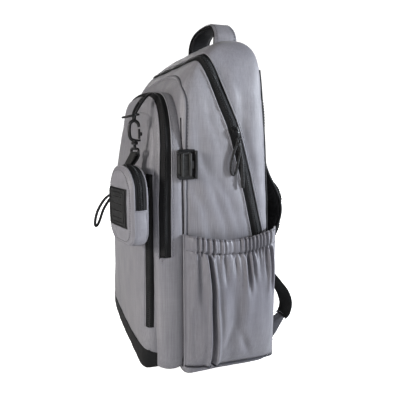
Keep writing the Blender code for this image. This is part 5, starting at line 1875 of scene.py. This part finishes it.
# piped seams round both faces
for h, nm in ((HB, "front"), (-HB, "rear")):
    line, nn = pouch_edge(h)
    g = Geo()
    g.tube([p + n * 0.6 for p, n in zip(calm(line, 3, True), nn)], 1.2, 8, loop=True)
    ob = g.obj("pouch_piping_" + nm, M_GREY, "pouch")
# stitch row on the front face just inside the piping, and the band's end seams
g = Geo()
line, nn = [], []
for a, b in pouch_outline(-5.2, 130):
    o = pp(a, b, 60)
    hit = p_tree.ray_cast(o, -nrm3)
    if hit[0]:
        line.append(hit[0])
        nn.append(hit[1])
g.stitches(line, nn, 2.2, 1.1, 0.6, 0.4, lift=0.85, loop=True)
ob = g.obj("pouch_stitch", M_THREAD_D, "pouch")
g = Geo()
for s in (1, -1):
    line = []
    for i in range(11):
        h = -HB + 2 * HB * i / 10
        o = pp(s * 80, LOW, h)
        hit = p_tree.ray_cast(o, lat3 * (-s))
        if hit[0]:
            line.append(hit[0] + hit[1] * 0.5)
    g.tube(line, 1.3, 8)
ob = g.obj("pouch_band_ends", M_GREY, "pouch")
# the coil along the middle of the band, with a raised guard on each side
g = Geo()
line, nn = pouch_edge(0.0, lambda b: b > LOW * 1.1)
k0 = max(range(len(line)), key=lambda i: (line[i] - line[i - 1]).length)
line, nn = line[k0:] + line[:k0], nn[k0:] + nn[:k0]
line, nn = tidy_path(line, nn, step=1.5, passes=4)
for i, (p, t, n) in enumerate(zip(line, tangents(line), nn)):
    w = t.cross(n).normalized() * (1 if i % 2 else -1)
    g.pill(p + n * 0.5 + w * 0.7, w, n, 2.8, 1.05, 0.75)
ob = g.obj("pouch_coil", M_TEETH, "pouch")
g = Geo()
for h in (-3.2, 3.2):
    l2, n2 = pouch_edge(h, lambda b: b > LOW * 1.1)
    k0 = max(range(len(l2)), key=lambda i: (l2[i] - l2[i - 1]).length)
    l2, n2 = tidy_path(l2[k0:] + l2[:k0], n2[k0:] + n2[:k0], step=3.0, passes=3)
    g.tube([p + n * 0.2 for p, n in zip(l2, n2)], 0.9, 8)
ob = g.obj("pouch_zip_guards", M_TAPE, "pouch")
# bare moulded patch, laid on the face, with a raised rim and an embossed frame
pz0, pz1, pa0, pa1 = -28.0, 24.0, -27.0, 25.0


def on_face(a, b, h):
    o = pp(a, b, 60)
    hit = p_tree.ray_cast(o, -nrm3)
    base = (hit[0] - PC).dot(nrm3) if hit[0] else PD
    return pp(a, b, base + 0.8 + h)


g = Geo()
na, nb = 26, 30
rows = []
for j in range(nb + 1):
    rows.append([on_face(pa0 + (pa1 - pa0) * i / na, pz0 + (pz1 - pz0) * j / nb, 1.7 * (0.35 if (i in (0, na) or j in (0, nb)) else 1.0)) for i in range(na + 1)])
for _ in range(2):
    rows = [calm(r, 1) for r in rows]
g.grid(rows)
ob = g.obj("pouch_label", M_PATCH)
m = ob.modifiers.new("s", "SOLIDIFY")
m.thickness, m.offset = 0.0018, -1
bake(ob)
ob.data.shade_smooth()
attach(ob, "pouch")
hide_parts("pouch_patch")
g = Geo()
for inset_mm, r in ((2.0, 0.8), (6.0, 0.55)):
    o = rounded(pa0 + inset_mm, pa1 - inset_mm, pz0 + inset_mm, pz1 - inset_mm, 2.5, 5)
    o = resample([Vector((a, b, 0)) for a, b in o], count=90, loop=True)
    g.tube([on_face(q.x, q.y, 1.75) for q in o], r, 8, loop=True)
for j in range(4):
    b = 12 - 9.4 * j
    g.tube([on_face(a, b, 1.75) for a in (-16, -11, -6, -1, 4, 9, 14)], 0.55, 8)
ob = g.obj("pouch_label_rim", M_PATCH, "pouch")
# webbing tab through the swivel eye
g = Geo()
tabn = [(13.4, 300.5), (10.2, 304.5), (5.0, 313), (2.4, 317.6), (0, 319.2), (-2.5, 316.6), (-0.6, 311), (5.4, 303.4), (9.6, 299.6)]
way = catmull([Vector((hx, hy, 0)) + nrm3 * a + Vector((0, 0, b)) for a, b in tabn], 40)
g.strip(way, tuple(lat3), [(-8.8, -0.7), (-8.3, -0.95), (8.3, -0.95), (8.8, -0.7), (8.8, 0.7), (8.3, 0.95), (-8.3, 0.95), (-8.8, 0.7)])
ob = g.obj("pouch_web_tab", M_WEB, "pouch")
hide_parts("pouch_tab")
# its zipper slider and pull on the far side
hit = p_tree.ray_cast(pp(-90, 20, 0), lat3)
ps = hit[0] if hit[0] else pp(-PW, 20, 0)
slider("pouch_zip_slider", "pouch_slider", "pouch_slider", ps - lat3 * 1.6, (0, 0, -1), -lat3, (8.5, 14, 3.6))
top = ps - lat3 * 4.8 + Vector((0, 0, -9))
pull("pouch_zip_pull", "pouch_pull", "pouch_pull", [top, top + Vector((0, 0, -7)) - lat3 * 8 + nrm3 * 8, top + Vector((0, 0, -26)) - lat3 * 20 + nrm3 * 16, top + Vector((0, 0, -52)) - lat3 * 29 + nrm3 * 21], tuple(nrm3), 4.0, 2.0)

# ------------------------------------------------------------------ inside: base board, power bank pocket and laptop sleeve
g = Geo()
g.prism(rounded(-128, 128, -50, 72, 12, 6), lambda a, b, h: Vector((a, b, h)), 3.4, 6.4, 0.9, 3)
ob = g.obj("board_cover", M_BOARD, "bag", angle=50)
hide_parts("base_board")
g = Geo()
rows = []
for j in range(25):
    v = j / 24
    z = 150 + 120 * v
    row = []
    for i in range(41):
        u = i / 40
        x = 40 + 85 * u
        bulge = (1 - abs(2 * u - 1) ** 3.5) ** 0.6 * (1 - abs(2 * v - 1.05) ** 6) ** 0.5 if abs(2 * v - 1.05) < 1 else 0.0
        row.append(Vector((x, -53.2 + 8.4 * bulge + 0.5 * nz(x / 12, z / 18, 0, 71) * bulge, z)))
    rows.append(row)
g.grid(rows)
ob = g.obj("bank_pocket", M_LINING)
m = ob.modifiers.new("s", "SOLIDIFY")
m.thickness, m.offset = 0.0012, 0
bake(ob)
ob.data.shade_smooth()
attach(ob, "bag")
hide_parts("power_bank_pocket")
g2 = Geo()
g2.tube([r + Vector((0, 0.6, 0)) for r in rows[-1]], 1.6, 8)
e = g2.obj("bank_pocket_binding", M_WEB_X, "bag")
g = Geo()
rows = []
for j in range(45):
    v = j / 44
    z = 40 + 275 * v
    yb = lerp(BACK, z) - 15.0 + 0.8 * math.sin(v * 3.0)
    rows.append([Vector((-118 + 236 * i / 60, yb - 2.4 * (1 - (abs(2 * i / 60 - 1)) ** 4) - 0.7 * nz(i / 7, z / 40, 0, 72), z)) for i in range(61)])
g.grid(rows)
ob = g.obj("sleeve_cloth", M_LINING)
m = ob.modifiers.new("s", "SOLIDIFY")
m.thickness, m.offset = 0.0034, 0
bake(ob)
ob.data.shade_smooth()
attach(ob, "back_flap")
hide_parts("laptop_sleeve")
g = Geo()
g.tube(rows[-1], 2.6, 8)
e = g.obj("sleeve_binding", M_WEB_X, "back_flap")

# ------------------------------------------------------------------ mesh updates
for ob in bpy.data.objects:
    if ob.type == "MESH" and not ob.hide_render:
        ob.data.update()
